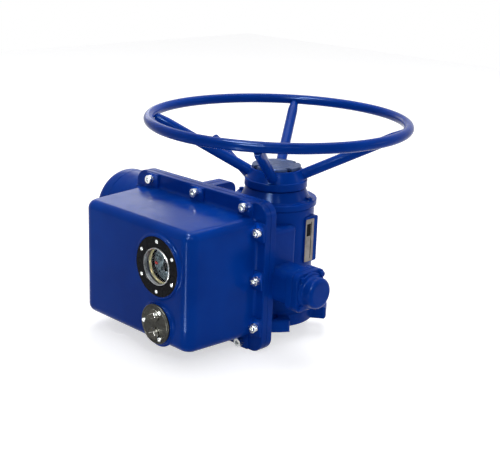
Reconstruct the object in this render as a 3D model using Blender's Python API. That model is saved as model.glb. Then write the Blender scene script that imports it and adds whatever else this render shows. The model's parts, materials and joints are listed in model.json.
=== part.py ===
"""Electric multi-turn valve actuator with a worm gear, a handwheel and an electrical compartment.

The origin is the centre of the valve flange's face, +Z is up along the output sleeve, the
electrical compartment faces -Y, and the motor lies towards -X. Sizes are in metres.
"""

import math

import bmesh
import bpy
from mathutils import Matrix, Vector

# Fits
GAP = 0.0003
HOLE_CLEARANCE = 0.0005
WELD_DISTANCE = 0.00001

# How far a cutter runs past the face that it opens, and how deep a joined shape is rooted
OVERCUT = 0.010
ROOT = 0.002

# Valve flange, ISO 5210 size F14
FLANGE_RADIUS = 0.0875
FLANGE_WAIST_RADIUS = 0.066
FLANGE_THICKNESS = 0.019
FLANGE_LUG_HALF_ANGLE = math.radians(17)
FLANGE_LUG_ROOT_HALF_ANGLE = math.radians(24)
FLANGE_BOLT_CIRCLE_RADIUS = 0.070
FLANGE_BOLT_HOLE_RADIUS = 0.009
FLANGE_LUG_COUNT = 4
SPIGOT_RADIUS = 0.050
SPIGOT_HEIGHT = 0.003

# Gear column
COLUMN_RADIUS = 0.060
COLUMN_HEIGHT = 0.178
COLUMN_WALL = 0.009
COLUMN_FLOOR = 0.034

# Top cover
TOP_PLATE_OVERHANG = 0.003
TOP_PLATE_THICKNESS = 0.0095
TOP_NECK_SETBACK = 0.014
TOP_NECK_HEIGHT = 0.015
TOP_SPIGOT_HEIGHT = 0.006
TOP_SCREW_COUNT = 4
TOP_SCREW_START_ANGLE = math.radians(20)
TOP_SCREW_RADIUS = 0.002
TOP_SCREW_GRIP = 0.009
TOP_SCREW_HEAD_RADIUS = 0.0045
TOP_SCREW_HEAD_HEIGHT = 0.0048
TOP_SCREW_SOCKET_ACROSS_FLATS = 0.0036
TOP_SCREW_SOCKET_DEPTH = 0.0024

# Output sleeve and its bearings
SLEEVE_RADIUS = 0.022
SLEEVE_BORE_RADIUS = 0.015
SLEEVE_FOOT = 0.001
SLEEVE_BEARING_RADIUS = 0.031
SLEEVE_BEARING_WIDTH = 0.013

# Worm gear
WORM_MODULE = 0.002
WORM_WHEEL_TEETH = 34
WORM_PITCH_RADIUS = 0.014
WORM_AXIS_HEIGHT = 0.080
WORM_WHEEL_WIDTH = 0.024
WORM_WHEEL_HUB_RADIUS = 0.029
WORM_WHEEL_HUB_WIDTH = 0.036
WORM_LENGTH = 0.046
WORM_SHAFT_RADIUS = 0.010
WORM_BACKLASH = 0.0007
WORM_BORE_CLEARANCE = 0.002
WORM_RELIEF_LENGTH = 0.005
WORM_SHAFT_OVERHANG = 0.005
WORM_STEPS_PER_TURN = 12
PRESSURE_ANGLE = math.radians(20)

# Spur gears between motor and worm
SPUR_MODULE = 0.0015
PINION_TEETH = 28
SPUR_GEAR_TEETH = 42
SPUR_WIDTH = 0.014
PINION_WIDTH = 0.016
SPUR_BACKLASH = 0.0006
SPUR_CHAMBER_CLEARANCE = 0.003
SPUR_GEAR_SETBACK = 0.028
SPUR_TO_BEARING = 0.012

# Worm housing and end cap
WORM_BEARING_RADIUS = 0.021
WORM_BEARING_WIDTH = 0.012
WORM_CASE_SIDE = 0.052
WORM_CASE_FILLET = 0.012
WORM_CASE_END = 0.097
WORM_END_FLANGE_SIDE = 0.058
WORM_END_FLANGE_THICKNESS = 0.012
WORM_END_FLANGE_FILLET = 0.010
WORM_CAP_PLATE_THICKNESS = 0.010
WORM_CAP_DOME_RADIUS = 0.023
WORM_CAP_DOME_HEIGHT = 0.021
WORM_CAP_DOME_FILLET = 0.006

# Motor
MOTOR_RADIUS = 0.065
MOTOR_WALL = 0.006
MOTOR_AXIS_HEIGHT = 0.0946
MOTOR_FLANGE_X = -0.158
MOTOR_FLANGE_SIDE = 0.144
MOTOR_FLANGE_THICKNESS = 0.015
MOTOR_FLANGE_FILLET = 0.014
MOTOR_BODY_LENGTH = 0.150
MOTOR_END_LENGTH = 0.032
MOTOR_END_FILLET = 0.018
MOTOR_END_SPIGOT = 0.004
MOTOR_REGISTER_RADIUS = 0.050
MOTOR_REGISTER_DEPTH = 0.004
MOTOR_SHAFT_RADIUS = 0.010
MOTOR_ROTOR_RADIUS = 0.034
MOTOR_AIR_GAP = 0.0006
MOTOR_CORE_LENGTH = 0.090
WINDING_OVERHANG = 0.012
WINDING_SETBACK = 0.006
WINDING_TAPER = 0.0025
MOTOR_BEARING_RADIUS = 0.0205
MOTOR_BEARING_WIDTH = 0.012
MOTOR_SHIELD_THICKNESS = 0.014

# Gear case between motor and column
CASE_BACK = 0.052
CASE_BOTTOM = 0.024
CASE_TOP_STEP = 0.018
CASE_FILLET = 0.012
SPUR_BOSS_WALL = 0.0045
PINION_CHAMBER_STEP = 0.006

# Electrical compartment
BOX_LEFT = -0.190
BOX_RIGHT = 0.045
BOX_BOTTOM = 0.001
BOX_TOP = 0.178
BOX_FRONT = -0.216
BOX_FLANGE_FRONT = -0.0925
BOX_FILLET = 0.010
BOX_CORNER_FILLET = 0.018
BOX_WALL = 0.006
BOX_SIDE_DRAFT = 0.007
BOX_END_DRAFT = 0.0025
BOX_FLANGE_SIDE_OVERHANG = 0.0245
BOX_FLANGE_END_OVERHANG = 0.025
BOX_FLANGE_THICKNESS = 0.0085
BOX_FLANGE_FILLET = 0.020
GASKET_THICKNESS = 0.0015
GASKET_INSET = 0.0015
BACK_PLATE_THICKNESS = 0.012

# Cover screws, M8
SCREW_RADIUS = 0.004
SCREW_HEAD_RADIUS = 0.0065
SCREW_HEAD_HEIGHT = 0.008
SCREW_SOCKET_ACROSS_FLATS = 0.006
SCREW_SOCKET_DEPTH = 0.004
SCREW_EDGE_DISTANCE = 0.010
SCREW_SIDE_MARGIN = 0.039
SCREW_END_MARGIN = 0.041
SCREWS_PER_SIDE = 3
SCREW_PAD_LENGTH = 0.029
SCREW_PAD_HEIGHT = 0.0035
SCREW_PAD_INSET = 0.001

# Window and dial
WINDOW_X = -0.0165
WINDOW_Z = 0.1185
WINDOW_OPENING_RADIUS = 0.027
WINDOW_RING_RADIUS = 0.0435
WINDOW_RING_THICKNESS = 0.005
WINDOW_RING_CHAMFER = 0.001
WINDOW_BOSS_RADIUS = 0.0465
WINDOW_BOSS_HEIGHT = 0.005
WINDOW_BOSS_FLARE = 0.005
BOSS_EDGE_FILLET = 0.0007
WINDOW_GLASS_RADIUS = 0.032
WINDOW_GLASS_THICKNESS = 0.004
DIAL_RADIUS = 0.026
DIAL_THICKNESS = 0.0015
DIAL_DEPTH = 0.010
DIAL_HUB_RADIUS = 0.005
POINTER_SHAFT_RADIUS = 0.002
POINTER_LENGTH = 0.020
POINTER_WIDTH = 0.004
POINTER_TAIL_LENGTH = 0.010
POINTER_THICKNESS = 0.001
POINTER_CAP_RADIUS = 0.0035

# Local controls
CONTROL_X = -0.0165
CONTROL_Z = 0.033
CONTROL_PLATE_RADIUS = 0.0295
CONTROL_PLATE_THICKNESS = 0.003
CONTROL_BOSS_RADIUS = 0.031
CONTROL_BOSS_HEIGHT = 0.004
CONTROL_BOSS_FLARE = 0.004
CONTROL_OPENING_RADIUS = 0.022
KNOB_RADIUS = 0.009
KNOB_LENGTH = 0.008
KNOB_CHAMFER = 0.001
KNOB_GRIP_WIDTH = 0.006
KNOB_GRIP_HEIGHT = 0.0055
KNOB_REST_ANGLE = math.radians(26)
KNOB_PITCH = 0.028
KNOB_SHAFT_RADIUS = 0.003
SELECTOR_WIDTH = 0.030
SELECTOR_HEIGHT = 0.040
SELECTOR_DEPTH = 0.028
KNOB_SHAFT_DEPTH = 0.010

# Inside the compartment
PLATE_THICKNESS = 0.003
PLATE_STANDOFF = 0.015
PLATE_MARGIN = 0.014
STANDOFF_RADIUS = 0.006
STANDOFF_MARGIN = 0.012
SWITCH_UNIT_WIDTH = 0.060
SWITCH_UNIT_HEIGHT = 0.056
SWITCH_UNIT_MARGIN = 0.008
UNIT_FILLET = 0.003
TORQUE_UNIT_WIDTH = 0.052
TORQUE_UNIT_DEPTH = 0.040
CONTACTOR_WIDTH = 0.044
CONTACTOR_DEPTH = 0.055
UNIT_SHAFT_DEPTH = 0.012
DIAL_HUB_LENGTH = 0.030
TERMINAL_WAYS = 12
TERMINAL_LEFT_MARGIN = 0.010
TERMINAL_RIGHT_MARGIN = 0.035
TERMINAL_DEPTH = 0.026
TERMINAL_HEIGHT = 0.026
TERMINAL_SLOT_DEPTH = 0.012
TERMINAL_SLOT_WIDTH = 0.0016

# Handwheel
WHEEL_RADIUS = 0.192
WHEEL_TUBE_RADIUS = 0.0077
WHEEL_RISE = 0.0707
SPOKE_RADIUS = 0.0081
SPOKE_END_RADIUS = 0.0066
SPOKE_END_TAPER = 0.024
SPOKE_COUNT = 4
SPOKE_START_ANGLE = math.radians(34.8)
SPOKE_FOOT_HEIGHT = 0.0185
SPOKE_DROP_AT_RIM = 0.004
HUB_CLEARANCE = 0.0015
HUB_RADIUS = 0.0475
HUB_SKIRT_HEIGHT = 0.012
HUB_HEIGHT = 0.028
HUB_TOP_RADIUS = 0.0385
CAP_RADIUS = 0.0368
CAP_THICKNESS = 0.004
CAP_CHAMFER = 0.001
CAP_NOTCH_COUNT = 4
CAP_NOTCH_WIDTH = 0.007
CAP_NOTCH_DEPTH = 0.005
CAP_NOTCH_START_ANGLE = math.radians(74)
CAP_NECK_RADIUS = 0.026
CAP_NECK_HEIGHT = 0.004

# Changeover lever
LEVER_PIVOT_INSET = 0.0085
LEVER_ANGLE = math.radians(172.7)
LEVER_PIVOT_HEIGHT = 0.0105
LEVER_TILT = math.radians(26)
LEVER_LENGTH = 0.115
LEVER_ROD_RADIUS = 0.006
LEVER_EYE_RADIUS = 0.0062
LEVER_EYE_WIDTH = 0.012
LEVER_PIN_RADIUS = 0.003
LEVER_EAR_THICKNESS = 0.006
LEVER_EAR_RADIUS = 0.0055

# Nameplate
NAMEPLATE_WIDTH = 0.018
NAMEPLATE_HEIGHT = 0.066
NAMEPLATE_THICKNESS = 0.001
NAMEPLATE_Y = 0.010
NAMEPLATE_DROP = 0.048
NAMEPLATE_PAD_RISE = 0.0025
NAMEPLATE_PAD_MARGIN = 0.003
NAMEPLATE_PAD_BACK_MARGIN = 0.010

# Neck between column and compartment
NECK_RIGHT = 0.064
NECK_LEFT = -0.030
NECK_BACK = -0.018
NECK_BOTTOM = 0.060
NECK_TOP_STEP = 0.018
NECK_FILLET = 0.008

# Cable entries under the gear case
ENTRY_X = (-0.138, -0.098)
ENTRY_Y = 0.010
ENTRY_RADIUS = 0.014
ENTRY_BOSS_WALL = 0.004
ENTRY_BOSS_HEIGHT = 0.006
ENTRY_DEPTH = 0.012
ENTRY_PLUG_HEAD_HEIGHT = 0.006

ROUND = 32
MEDIUM = 24
FAIR = 16
SMALL = 12
HOLE = 8
RIM_STEPS = 60
RIM_SIDES = 10

# Places that follow from the sizes above
WORM_CENTRE_DISTANCE = WORM_MODULE * WORM_WHEEL_TEETH / 2 + WORM_PITCH_RADIUS
WORM_Y = -WORM_CENTRE_DISTANCE
SPUR_CENTRE_DISTANCE = SPUR_MODULE * (PINION_TEETH + SPUR_GEAR_TEETH) / 2
MOTOR_RISE = MOTOR_AXIS_HEIGHT - WORM_AXIS_HEIGHT
MOTOR_Y = WORM_Y + math.sqrt(SPUR_CENTRE_DISTANCE ** 2 - MOTOR_RISE ** 2)
MOTOR_FACE_X = MOTOR_FLANGE_X - MOTOR_FLANGE_THICKNESS
MOTOR_FLANGE_END_X = MOTOR_FACE_X - GAP - MOTOR_FLANGE_THICKNESS
MOTOR_BODY_END_X = MOTOR_FLANGE_END_X - MOTOR_BODY_LENGTH
BACK_PLATE_FRONT = BOX_FLANGE_FRONT + BOX_FLANGE_THICKNESS + GASKET_THICKNESS + 2 * GAP
BACK_PLATE_BACK = BACK_PLATE_FRONT + BACK_PLATE_THICKNESS
BOX_FLANGE_LEFT = BOX_LEFT - BOX_FLANGE_SIDE_OVERHANG
BOX_FLANGE_RIGHT = BOX_RIGHT + BOX_FLANGE_SIDE_OVERHANG
BOX_FLANGE_BOTTOM = BOX_BOTTOM - BOX_FLANGE_END_OVERHANG
BOX_FLANGE_TOP = BOX_TOP + BOX_FLANGE_END_OVERHANG
TOP_PLATE_RADIUS = COLUMN_RADIUS + TOP_PLATE_OVERHANG
TOP_NECK_RADIUS = COLUMN_RADIUS - TOP_NECK_SETBACK
TOP_SCREW_CIRCLE_RADIUS = COLUMN_RADIUS - COLUMN_WALL / 2
LEVER_PIVOT_RADIUS = TOP_PLATE_RADIUS - LEVER_PIVOT_INSET
NAMEPLATE_PAD_X = COLUMN_RADIUS + NAMEPLATE_PAD_RISE
NAMEPLATE_Z = COLUMN_HEIGHT - NAMEPLATE_DROP
NECK_TOP = COLUMN_HEIGHT - NECK_TOP_STEP
CASE_TOP = COLUMN_HEIGHT - CASE_TOP_STEP
TOP_PLATE_Z = COLUMN_HEIGHT + GAP
TOP_PLATE_TOP = TOP_PLATE_Z + TOP_PLATE_THICKNESS
TOP_NECK_TOP = TOP_PLATE_TOP + TOP_NECK_HEIGHT
HUB_BOTTOM = TOP_NECK_TOP + HUB_CLEARANCE
HUB_TOP = HUB_BOTTOM + HUB_HEIGHT
WHEEL_HEIGHT = HUB_TOP + WHEEL_RISE
SLEEVE_TOP = HUB_TOP - CAP_NECK_HEIGHT - GAP
SPUR_GEAR_X = MOTOR_FLANGE_X + SPUR_GEAR_SETBACK
BEARING_LEFT_X = SPUR_GEAR_X + SPUR_WIDTH / 2 + SPUR_TO_BEARING + WORM_BEARING_WIDTH / 2
BEARING_RIGHT_X = WORM_CASE_END - WORM_BEARING_WIDTH / 2 + WORM_END_FLANGE_THICKNESS
PLATE_FRONT = BACK_PLATE_FRONT - PLATE_STANDOFF - GAP - PLATE_THICKNESS
ALONG_X = Matrix.Rotation(math.pi / 2, 4, "Y")
ALONG_MINUS_Y = Matrix.Rotation(math.pi / 2, 4, "X")


# Outlines and meshes

def clear_scene():
    for item in list(bpy.data.objects):
        bpy.data.objects.remove(item, do_unlink=True)


def finish(name, colour, roughness, metallic):
    material = bpy.data.materials.new(name)
    material.use_nodes = True
    shader = material.node_tree.nodes["Principled BSDF"]
    shader.inputs["Base Color"].default_value = (*colour, 1.0)
    shader.inputs["Roughness"].default_value = roughness
    shader.inputs["Metallic"].default_value = metallic
    return material


def add_object(name, mesh_builder, material=None, matrix=None, location=(0, 0, 0)):
    """Make one object from a bmesh, placed by a rotation matrix and a location."""
    mesh = bpy.data.meshes.new(name)
    bmesh.ops.recalc_face_normals(mesh_builder, faces=mesh_builder.faces)
    mesh_builder.to_mesh(mesh)
    mesh_builder.free()
    mesh.shade_smooth()
    mesh.set_sharp_from_angle(angle=math.radians(35))
    item = bpy.data.objects.new(name, mesh)
    bpy.context.scene.collection.objects.link(item)
    if material is not None:
        mesh.materials.append(material)
    if matrix is not None:
        item.rotation_euler = matrix.to_euler()
    item.location = location
    return item


def arc(centre_x, centre_y, radius, start, end, steps):
    points = []
    for step in range(steps + 1):
        angle = start + (end - start) * step / steps
        points.append((centre_x + radius * math.cos(angle), centre_y + radius * math.sin(angle)))
    return points


def rounded_rectangle(width, height, fillet, steps=3, centre=(0, 0)):
    points = []
    corners = ((1, 1), (-1, 1), (-1, -1), (1, -1))
    for index, (side_x, side_y) in enumerate(corners):
        x = centre[0] + side_x * (width / 2 - fillet)
        y = centre[1] + side_y * (height / 2 - fillet)
        start = index * math.pi / 2
        points += arc(x, y, fillet, start, start + math.pi / 2, steps)
    return points


def prism_mesh(outline, bottom, top):
    """A flat outline extruded along Z."""
    builder = bmesh.new()
    corners = [builder.verts.new((x, y, bottom)) for x, y in outline]
    face = builder.faces.new(corners)
    grown = bmesh.ops.extrude_face_region(builder, geom=[face])
    raised = [part for part in grown["geom"] if isinstance(part, bmesh.types.BMVert)]
    bmesh.ops.translate(builder, verts=raised, vec=(0, 0, top - bottom))
    return builder


def turned_mesh(profile, segments):
    """A closed (radius, height) profile turned about Z."""
    builder = bmesh.new()
    corners = [builder.verts.new((radius, 0, height)) for radius, height in profile]
    edges = [builder.edges.new((corners[i - 1], corners[i])) for i in range(len(corners))]
    bmesh.ops.spin(builder, geom=corners + edges, cent=(0, 0, 0), axis=(0, 0, 1),
                   angle=2 * math.pi, steps=segments, use_merge=True)
    bmesh.ops.remove_doubles(builder, verts=builder.verts, dist=1e-7)
    loose = [face for face in builder.faces if face.calc_area() < 1e-12]
    bmesh.ops.delete(builder, geom=loose, context="FACES_ONLY")
    wires = [edge for edge in builder.edges if not edge.link_faces]
    bmesh.ops.delete(builder, geom=wires, context="EDGES")
    return builder


def disc_mesh(radius, bottom, top, segments):
    return prism_mesh(arc(0, 0, radius, 0, 2 * math.pi, segments)[:-1], bottom, top)


def ring_mesh(outer, inner, bottom, top, segments):
    return turned_mesh([(inner, bottom), (outer, bottom), (outer, top), (inner, top)], segments)


def box_mesh(low, high, fillet=0.0, steps=2):
    """A box between two corners, with its edges rounded when a fillet is given."""
    size = Vector(high) - Vector(low)
    middle = (Vector(high) + Vector(low)) / 2
    builder = bmesh.new()
    bmesh.ops.create_cube(builder, size=1.0)
    bmesh.ops.scale(builder, verts=builder.verts, vec=size)
    bmesh.ops.translate(builder, verts=builder.verts, vec=middle)
    if fillet:
        bmesh.ops.bevel(builder, geom=builder.edges[:], offset=fillet, segments=steps,
                        profile=0.5, affect="EDGES", clamp_overlap=True)
    return builder


def hole_radius(radius, segments):
    """The corner radius of a faceted hole whose flats clear a shaft of this radius."""
    return (radius + GAP) / math.cos(math.pi / segments)


def tool(name, builder, matrix=None, location=(0, 0, 0)):
    item = add_object(name, builder, None, matrix, location)
    item.hide_render = True
    item.display_type = "WIRE"
    return item


def combine(target, other, operation):
    step = target.modifiers.new(operation.lower() + "_" + other.name, "BOOLEAN")
    step.operation = operation
    step.solver = "EXACT"
    step.object = other
    weld = target.modifiers.new("weld_" + other.name, "WELD")
    weld.merge_threshold = WELD_DISTANCE


def add(target, name, builder, matrix=None, location=(0, 0, 0)):
    combine(target, tool(target.name + "_add_" + name, builder, matrix, location), "UNION")


def cut(target, name, builder, matrix=None, location=(0, 0, 0)):
    combine(target, tool(target.name + "_cut_" + name, builder, matrix, location), "DIFFERENCE")


def merge_into(builder, other, matrix):
    """Copy another bmesh into this one at a place; the shells don't touch each other."""
    mesh = bpy.data.meshes.new("scratch")
    other.to_mesh(mesh)
    other.free()
    mesh.transform(matrix)
    builder.from_mesh(mesh)
    bpy.data.meshes.remove(mesh)


def many_mesh(places, make):
    """One bmesh holding a copy of a shape at each place."""
    builder = bmesh.new()
    for place in places:
        merge_into(builder, make(), Matrix.Translation(Vector(place)))
    return builder


def around(count, radius, start):
    """Points evenly spaced on a circle."""
    return [(radius * math.cos(start + 2 * math.pi * i / count),
             radius * math.sin(start + 2 * math.pi * i / count)) for i in range(count)]


# Gear shapes

def gear_outline(teeth, module, backlash, phase):
    """Four points per tooth, with one tooth centred on the phase angle."""
    pitch_radius = teeth * module / 2
    tip = pitch_radius + module * 0.95
    root = pitch_radius - module * 1.25
    half = (math.pi * module / 2 - backlash) / 2
    lean = math.tan(PRESSURE_ANGLE)
    tip_half = (half - module * 0.95 * lean) / tip
    root_half = (half + module * 1.25 * lean) / root
    points = []
    for index in range(teeth):
        centre = phase + 2 * math.pi * index / teeth
        for radius, offset in ((root, -root_half), (tip, -tip_half), (tip, tip_half), (root, root_half)):
            angle = centre + offset
            points.append((radius * math.cos(angle), radius * math.sin(angle)))
    return points


def helical_mesh(outline, bottom, top, twist_rate):
    """An outline extruded along Z, with each end turned in proportion to its height."""
    builder = prism_mesh(outline, bottom, top)
    for height in (bottom, top):
        ring = [vert for vert in builder.verts if abs(vert.co.z - height) < WELD_DISTANCE]
        turn = Matrix.Rotation(twist_rate * height, 3, "Z")
        bmesh.ops.rotate(builder, verts=ring, cent=(0, 0, 0), matrix=turn)
    return builder


def worm_thread_mesh():
    """The worm's thread as a swept trapezium that runs out at both ends."""
    pitch = math.pi * WORM_MODULE
    turns = WORM_LENGTH / pitch
    steps = int(round(turns * WORM_STEPS_PER_TURN))
    foot = WORM_PITCH_RADIUS - WORM_MODULE * 1.4
    tip = WORM_PITCH_RADIUS + WORM_MODULE * 0.95
    half = (pitch / 2 - WORM_BACKLASH) / 2
    lean = math.tan(PRESSURE_ANGLE)
    foot_half = half + (WORM_PITCH_RADIUS - foot) * lean
    tip_half = half - (tip - WORM_PITCH_RADIUS) * lean
    builder = bmesh.new()
    rings = []
    for step in range(steps + 1):
        turn = (step / steps - 0.5) * turns
        angle = 2 * math.pi * turn + math.pi / 2
        height = turn * pitch
        ring = []
        for radius, offset in ((foot, -foot_half), (tip, -tip_half), (tip, tip_half), (foot, foot_half)):
            place = (radius * math.cos(angle), radius * math.sin(angle), height + offset)
            ring.append(builder.verts.new(place))
        rings.append(ring)
    for first, second in zip(rings, rings[1:]):
        for index in range(4):
            after = (index + 1) % 4
            builder.faces.new((first[index], first[after], second[after], second[index]))
    builder.faces.new(rings[0])
    builder.faces.new(rings[-1])
    return builder


# Castings

def flange_outline():
    points = []
    spacing = 2 * math.pi / FLANGE_LUG_COUNT
    for index in range(FLANGE_LUG_COUNT):
        centre = math.pi / 4 + index * spacing
        points += arc(0, 0, FLANGE_RADIUS, centre - FLANGE_LUG_HALF_ANGLE,
                      centre + FLANGE_LUG_HALF_ANGLE, 6)
        points += arc(0, 0, FLANGE_WAIST_RADIUS, centre + FLANGE_LUG_ROOT_HALF_ANGLE,
                      centre + spacing - FLANGE_LUG_ROOT_HALF_ANGLE, 4)
    return points


def box_outline_xz(left, right, bottom, top, fillet, steps=3):
    """A rounded rectangle in the XZ plane, as points for a prism that runs along -Y."""
    centre = ((left + right) / 2, (bottom + top) / 2)
    return rounded_rectangle(right - left, top - bottom, fillet, steps, centre)


def cover_screw_places():
    """The middles of the cover screws, as (x, z), clockwise from the top left."""
    left = BOX_FLANGE_LEFT + SCREW_EDGE_DISTANCE
    right = BOX_FLANGE_RIGHT - SCREW_EDGE_DISTANCE
    bottom = BOX_FLANGE_BOTTOM + SCREW_EDGE_DISTANCE
    top = BOX_FLANGE_TOP - SCREW_EDGE_DISTANCE
    places = []
    for step in range(SCREWS_PER_SIDE):
        share = step / (SCREWS_PER_SIDE - 1)
        x = BOX_FLANGE_LEFT + SCREW_SIDE_MARGIN
        x += share * (BOX_FLANGE_RIGHT - BOX_FLANGE_LEFT - 2 * SCREW_SIDE_MARGIN)
        z = BOX_FLANGE_BOTTOM + SCREW_END_MARGIN
        z += share * (BOX_FLANGE_TOP - BOX_FLANGE_BOTTOM - 2 * SCREW_END_MARGIN)
        places += [(x, top), (x, bottom), (left, z), (right, z)]
    return places


def standoff_places():
    reach = BOX_WALL + PLATE_MARGIN + STANDOFF_MARGIN
    return [(x, z) for x in (BOX_LEFT + reach, BOX_RIGHT - reach)
            for z in (BOX_BOTTOM + reach, BOX_TOP - reach)]


def lever_frame():
    """The place of the lever's pivot, with X pointing outwards along the lever."""
    x = LEVER_PIVOT_RADIUS * math.cos(LEVER_ANGLE)
    y = LEVER_PIVOT_RADIUS * math.sin(LEVER_ANGLE)
    z = TOP_PLATE_TOP + LEVER_PIVOT_HEIGHT
    return Matrix.Translation((x, y, z)) @ Matrix.Rotation(LEVER_ANGLE, 4, "Z")


def top_screw_places():
    return around(TOP_SCREW_COUNT, TOP_SCREW_CIRCLE_RADIUS, TOP_SCREW_START_ANGLE)


def make_housing(paint):
    column = [(0, -SPIGOT_HEIGHT), (SPIGOT_RADIUS, -SPIGOT_HEIGHT), (SPIGOT_RADIUS, FLANGE_THICKNESS / 2),
              (COLUMN_RADIUS, FLANGE_THICKNESS / 2), (COLUMN_RADIUS, COLUMN_HEIGHT), (0, COLUMN_HEIGHT)]
    housing = add_object("housing", turned_mesh(column, ROUND), paint)
    add(housing, "valve_flange", prism_mesh(flange_outline(), 0, FLANGE_THICKNESS))
    add_housing_blocks(housing)
    cut_housing_bores(housing)
    cut_housing_holes(housing)
    return housing


def add_housing_blocks(housing):
    worm_place = (0, WORM_Y, WORM_AXIS_HEIGHT)
    section = rounded_rectangle(WORM_CASE_SIDE, WORM_CASE_SIDE, WORM_CASE_FILLET)
    add(housing, "worm_case", prism_mesh(section, BEARING_LEFT_X, WORM_CASE_END + GAP), ALONG_X, worm_place)
    section = rounded_rectangle(WORM_END_FLANGE_SIDE, WORM_END_FLANGE_SIDE, WORM_END_FLANGE_FILLET)
    flange_end = WORM_CASE_END + WORM_END_FLANGE_THICKNESS
    add(housing, "worm_flange", prism_mesh(section, WORM_CASE_END, flange_end), ALONG_X, worm_place)
    neck = box_mesh((NECK_LEFT, BACK_PLATE_FRONT + BACK_PLATE_THICKNESS / 2, NECK_BOTTOM),
                    (NECK_RIGHT, NECK_BACK, NECK_TOP), NECK_FILLET)
    add(housing, "neck", neck)
    case = box_mesh((MOTOR_FLANGE_X - CASE_FILLET, BACK_PLATE_FRONT + BACK_PLATE_THICKNESS / 3, CASE_BOTTOM),
                    (0, CASE_BACK, CASE_TOP), CASE_FILLET)
    add(housing, "gear_case", case)
    section = rounded_rectangle(MOTOR_FLANGE_SIDE, MOTOR_FLANGE_SIDE, MOTOR_FLANGE_FILLET)
    add(housing, "motor_pad", prism_mesh(section, MOTOR_FACE_X, MOTOR_FLANGE_X), ALONG_X,
        (0, MOTOR_Y, MOTOR_AXIS_HEIGHT))
    plate = box_outline_xz(BOX_FLANGE_LEFT, BOX_FLANGE_RIGHT, BOX_FLANGE_BOTTOM, BOX_FLANGE_TOP,
                           BOX_FLANGE_FILLET)
    add(housing, "back_plate", prism_mesh(plate, -BACK_PLATE_BACK, -BACK_PLATE_FRONT), ALONG_MINUS_Y)
    boss = disc_mesh(chamber_radius(SPUR_GEAR_TEETH) + SPUR_BOSS_WALL, MOTOR_FLANGE_X - ROOT,
                     BEARING_LEFT_X - WORM_BEARING_WIDTH / 2 - GAP, ROUND)
    add(housing, "spur_boss", boss, ALONG_X, worm_place)
    low = (COLUMN_RADIUS / 2, NAMEPLATE_Y - NAMEPLATE_WIDTH / 2 - NAMEPLATE_PAD_MARGIN,
           NAMEPLATE_Z - NAMEPLATE_HEIGHT / 2 - NAMEPLATE_PAD_MARGIN)
    high = (NAMEPLATE_PAD_X, NAMEPLATE_Y + NAMEPLATE_WIDTH / 2 + NAMEPLATE_PAD_BACK_MARGIN,
            NAMEPLATE_Z + NAMEPLATE_HEIGHT / 2 + NAMEPLATE_PAD_MARGIN)
    add(housing, "nameplate_pad", box_mesh(low, high))
    posts = many_mesh([(x, z, 0) for x, z in standoff_places()],
                      lambda: disc_mesh(STANDOFF_RADIUS, -BACK_PLATE_FRONT - PLATE_THICKNESS,
                                        PLATE_STANDOFF - BACK_PLATE_FRONT, SMALL))
    add(housing, "standoffs", posts, ALONG_MINUS_Y)
    bosses = many_mesh([(x, ENTRY_Y, 0) for x in ENTRY_X],
                       lambda: disc_mesh(ENTRY_RADIUS + ENTRY_BOSS_WALL, CASE_BOTTOM - ENTRY_BOSS_HEIGHT,
                                         CASE_BOTTOM + ENTRY_BOSS_WALL, FAIR))
    add(housing, "entry_bosses", bosses)


def chamber_radius(teeth):
    """The room that a spur gear of so many teeth turns in."""
    return SPUR_MODULE * (teeth / 2 + 1) + SPUR_CHAMBER_CLEARANCE


def cut_housing_bores(housing):
    bearing = hole_radius(SLEEVE_BEARING_RADIUS, MEDIUM)
    seat = COLUMN_FLOOR - SLEEVE_BEARING_WIDTH - GAP
    through = hole_radius(SLEEVE_RADIUS, MEDIUM)
    main = [(0, -OVERCUT), (through, -OVERCUT), (through, seat), (bearing, seat), (bearing, COLUMN_FLOOR),
            (COLUMN_RADIUS - COLUMN_WALL, COLUMN_FLOOR), (COLUMN_RADIUS - COLUMN_WALL, COLUMN_HEIGHT + OVERCUT),
            (0, COLUMN_HEIGHT + OVERCUT)]
    cut(housing, "main_bore", turned_mesh(main, MEDIUM))
    worm_place = (0, WORM_Y, WORM_AXIS_HEIGHT)
    seat_radius = hole_radius(WORM_BEARING_RADIUS, FAIR)
    bore = WORM_PITCH_RADIUS + WORM_MODULE + WORM_BORE_CLEARANCE
    start = BEARING_LEFT_X - WORM_BEARING_WIDTH / 2 - 2 * ROOT
    left = BEARING_LEFT_X + WORM_BEARING_WIDTH / 2 + GAP
    right = BEARING_RIGHT_X - WORM_BEARING_WIDTH / 2 - GAP
    flange_end = WORM_CASE_END + WORM_END_FLANGE_THICKNESS
    profile = [(0, start), (seat_radius, start), (seat_radius, left), (bore, left), (bore, right),
               (seat_radius, right), (seat_radius, flange_end + OVERCUT), (0, flange_end + OVERCUT)]
    cut(housing, "worm_bore", turned_mesh(profile, FAIR), ALONG_X, worm_place)
    chamber_end = BEARING_LEFT_X - WORM_BEARING_WIDTH / 2 - GAP - ROOT
    chamber = disc_mesh(chamber_radius(SPUR_GEAR_TEETH), MOTOR_FLANGE_X + ROOT, chamber_end, MEDIUM)
    cut(housing, "spur_chamber", chamber, ALONG_X, worm_place)
    pinion = chamber_radius(PINION_TEETH)
    seat = hole_radius(MOTOR_REGISTER_RADIUS, MEDIUM)
    profile = [(0, MOTOR_FACE_X - OVERCUT), (seat, MOTOR_FACE_X - OVERCUT),
               (seat, MOTOR_FACE_X + MOTOR_REGISTER_DEPTH), (pinion, MOTOR_FACE_X + MOTOR_REGISTER_DEPTH),
               (pinion, chamber_end - PINION_CHAMBER_STEP), (0, chamber_end - PINION_CHAMBER_STEP)]
    cut(housing, "motor_register", turned_mesh(profile, MEDIUM), ALONG_X, (0, MOTOR_Y, MOTOR_AXIS_HEIGHT))


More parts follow.
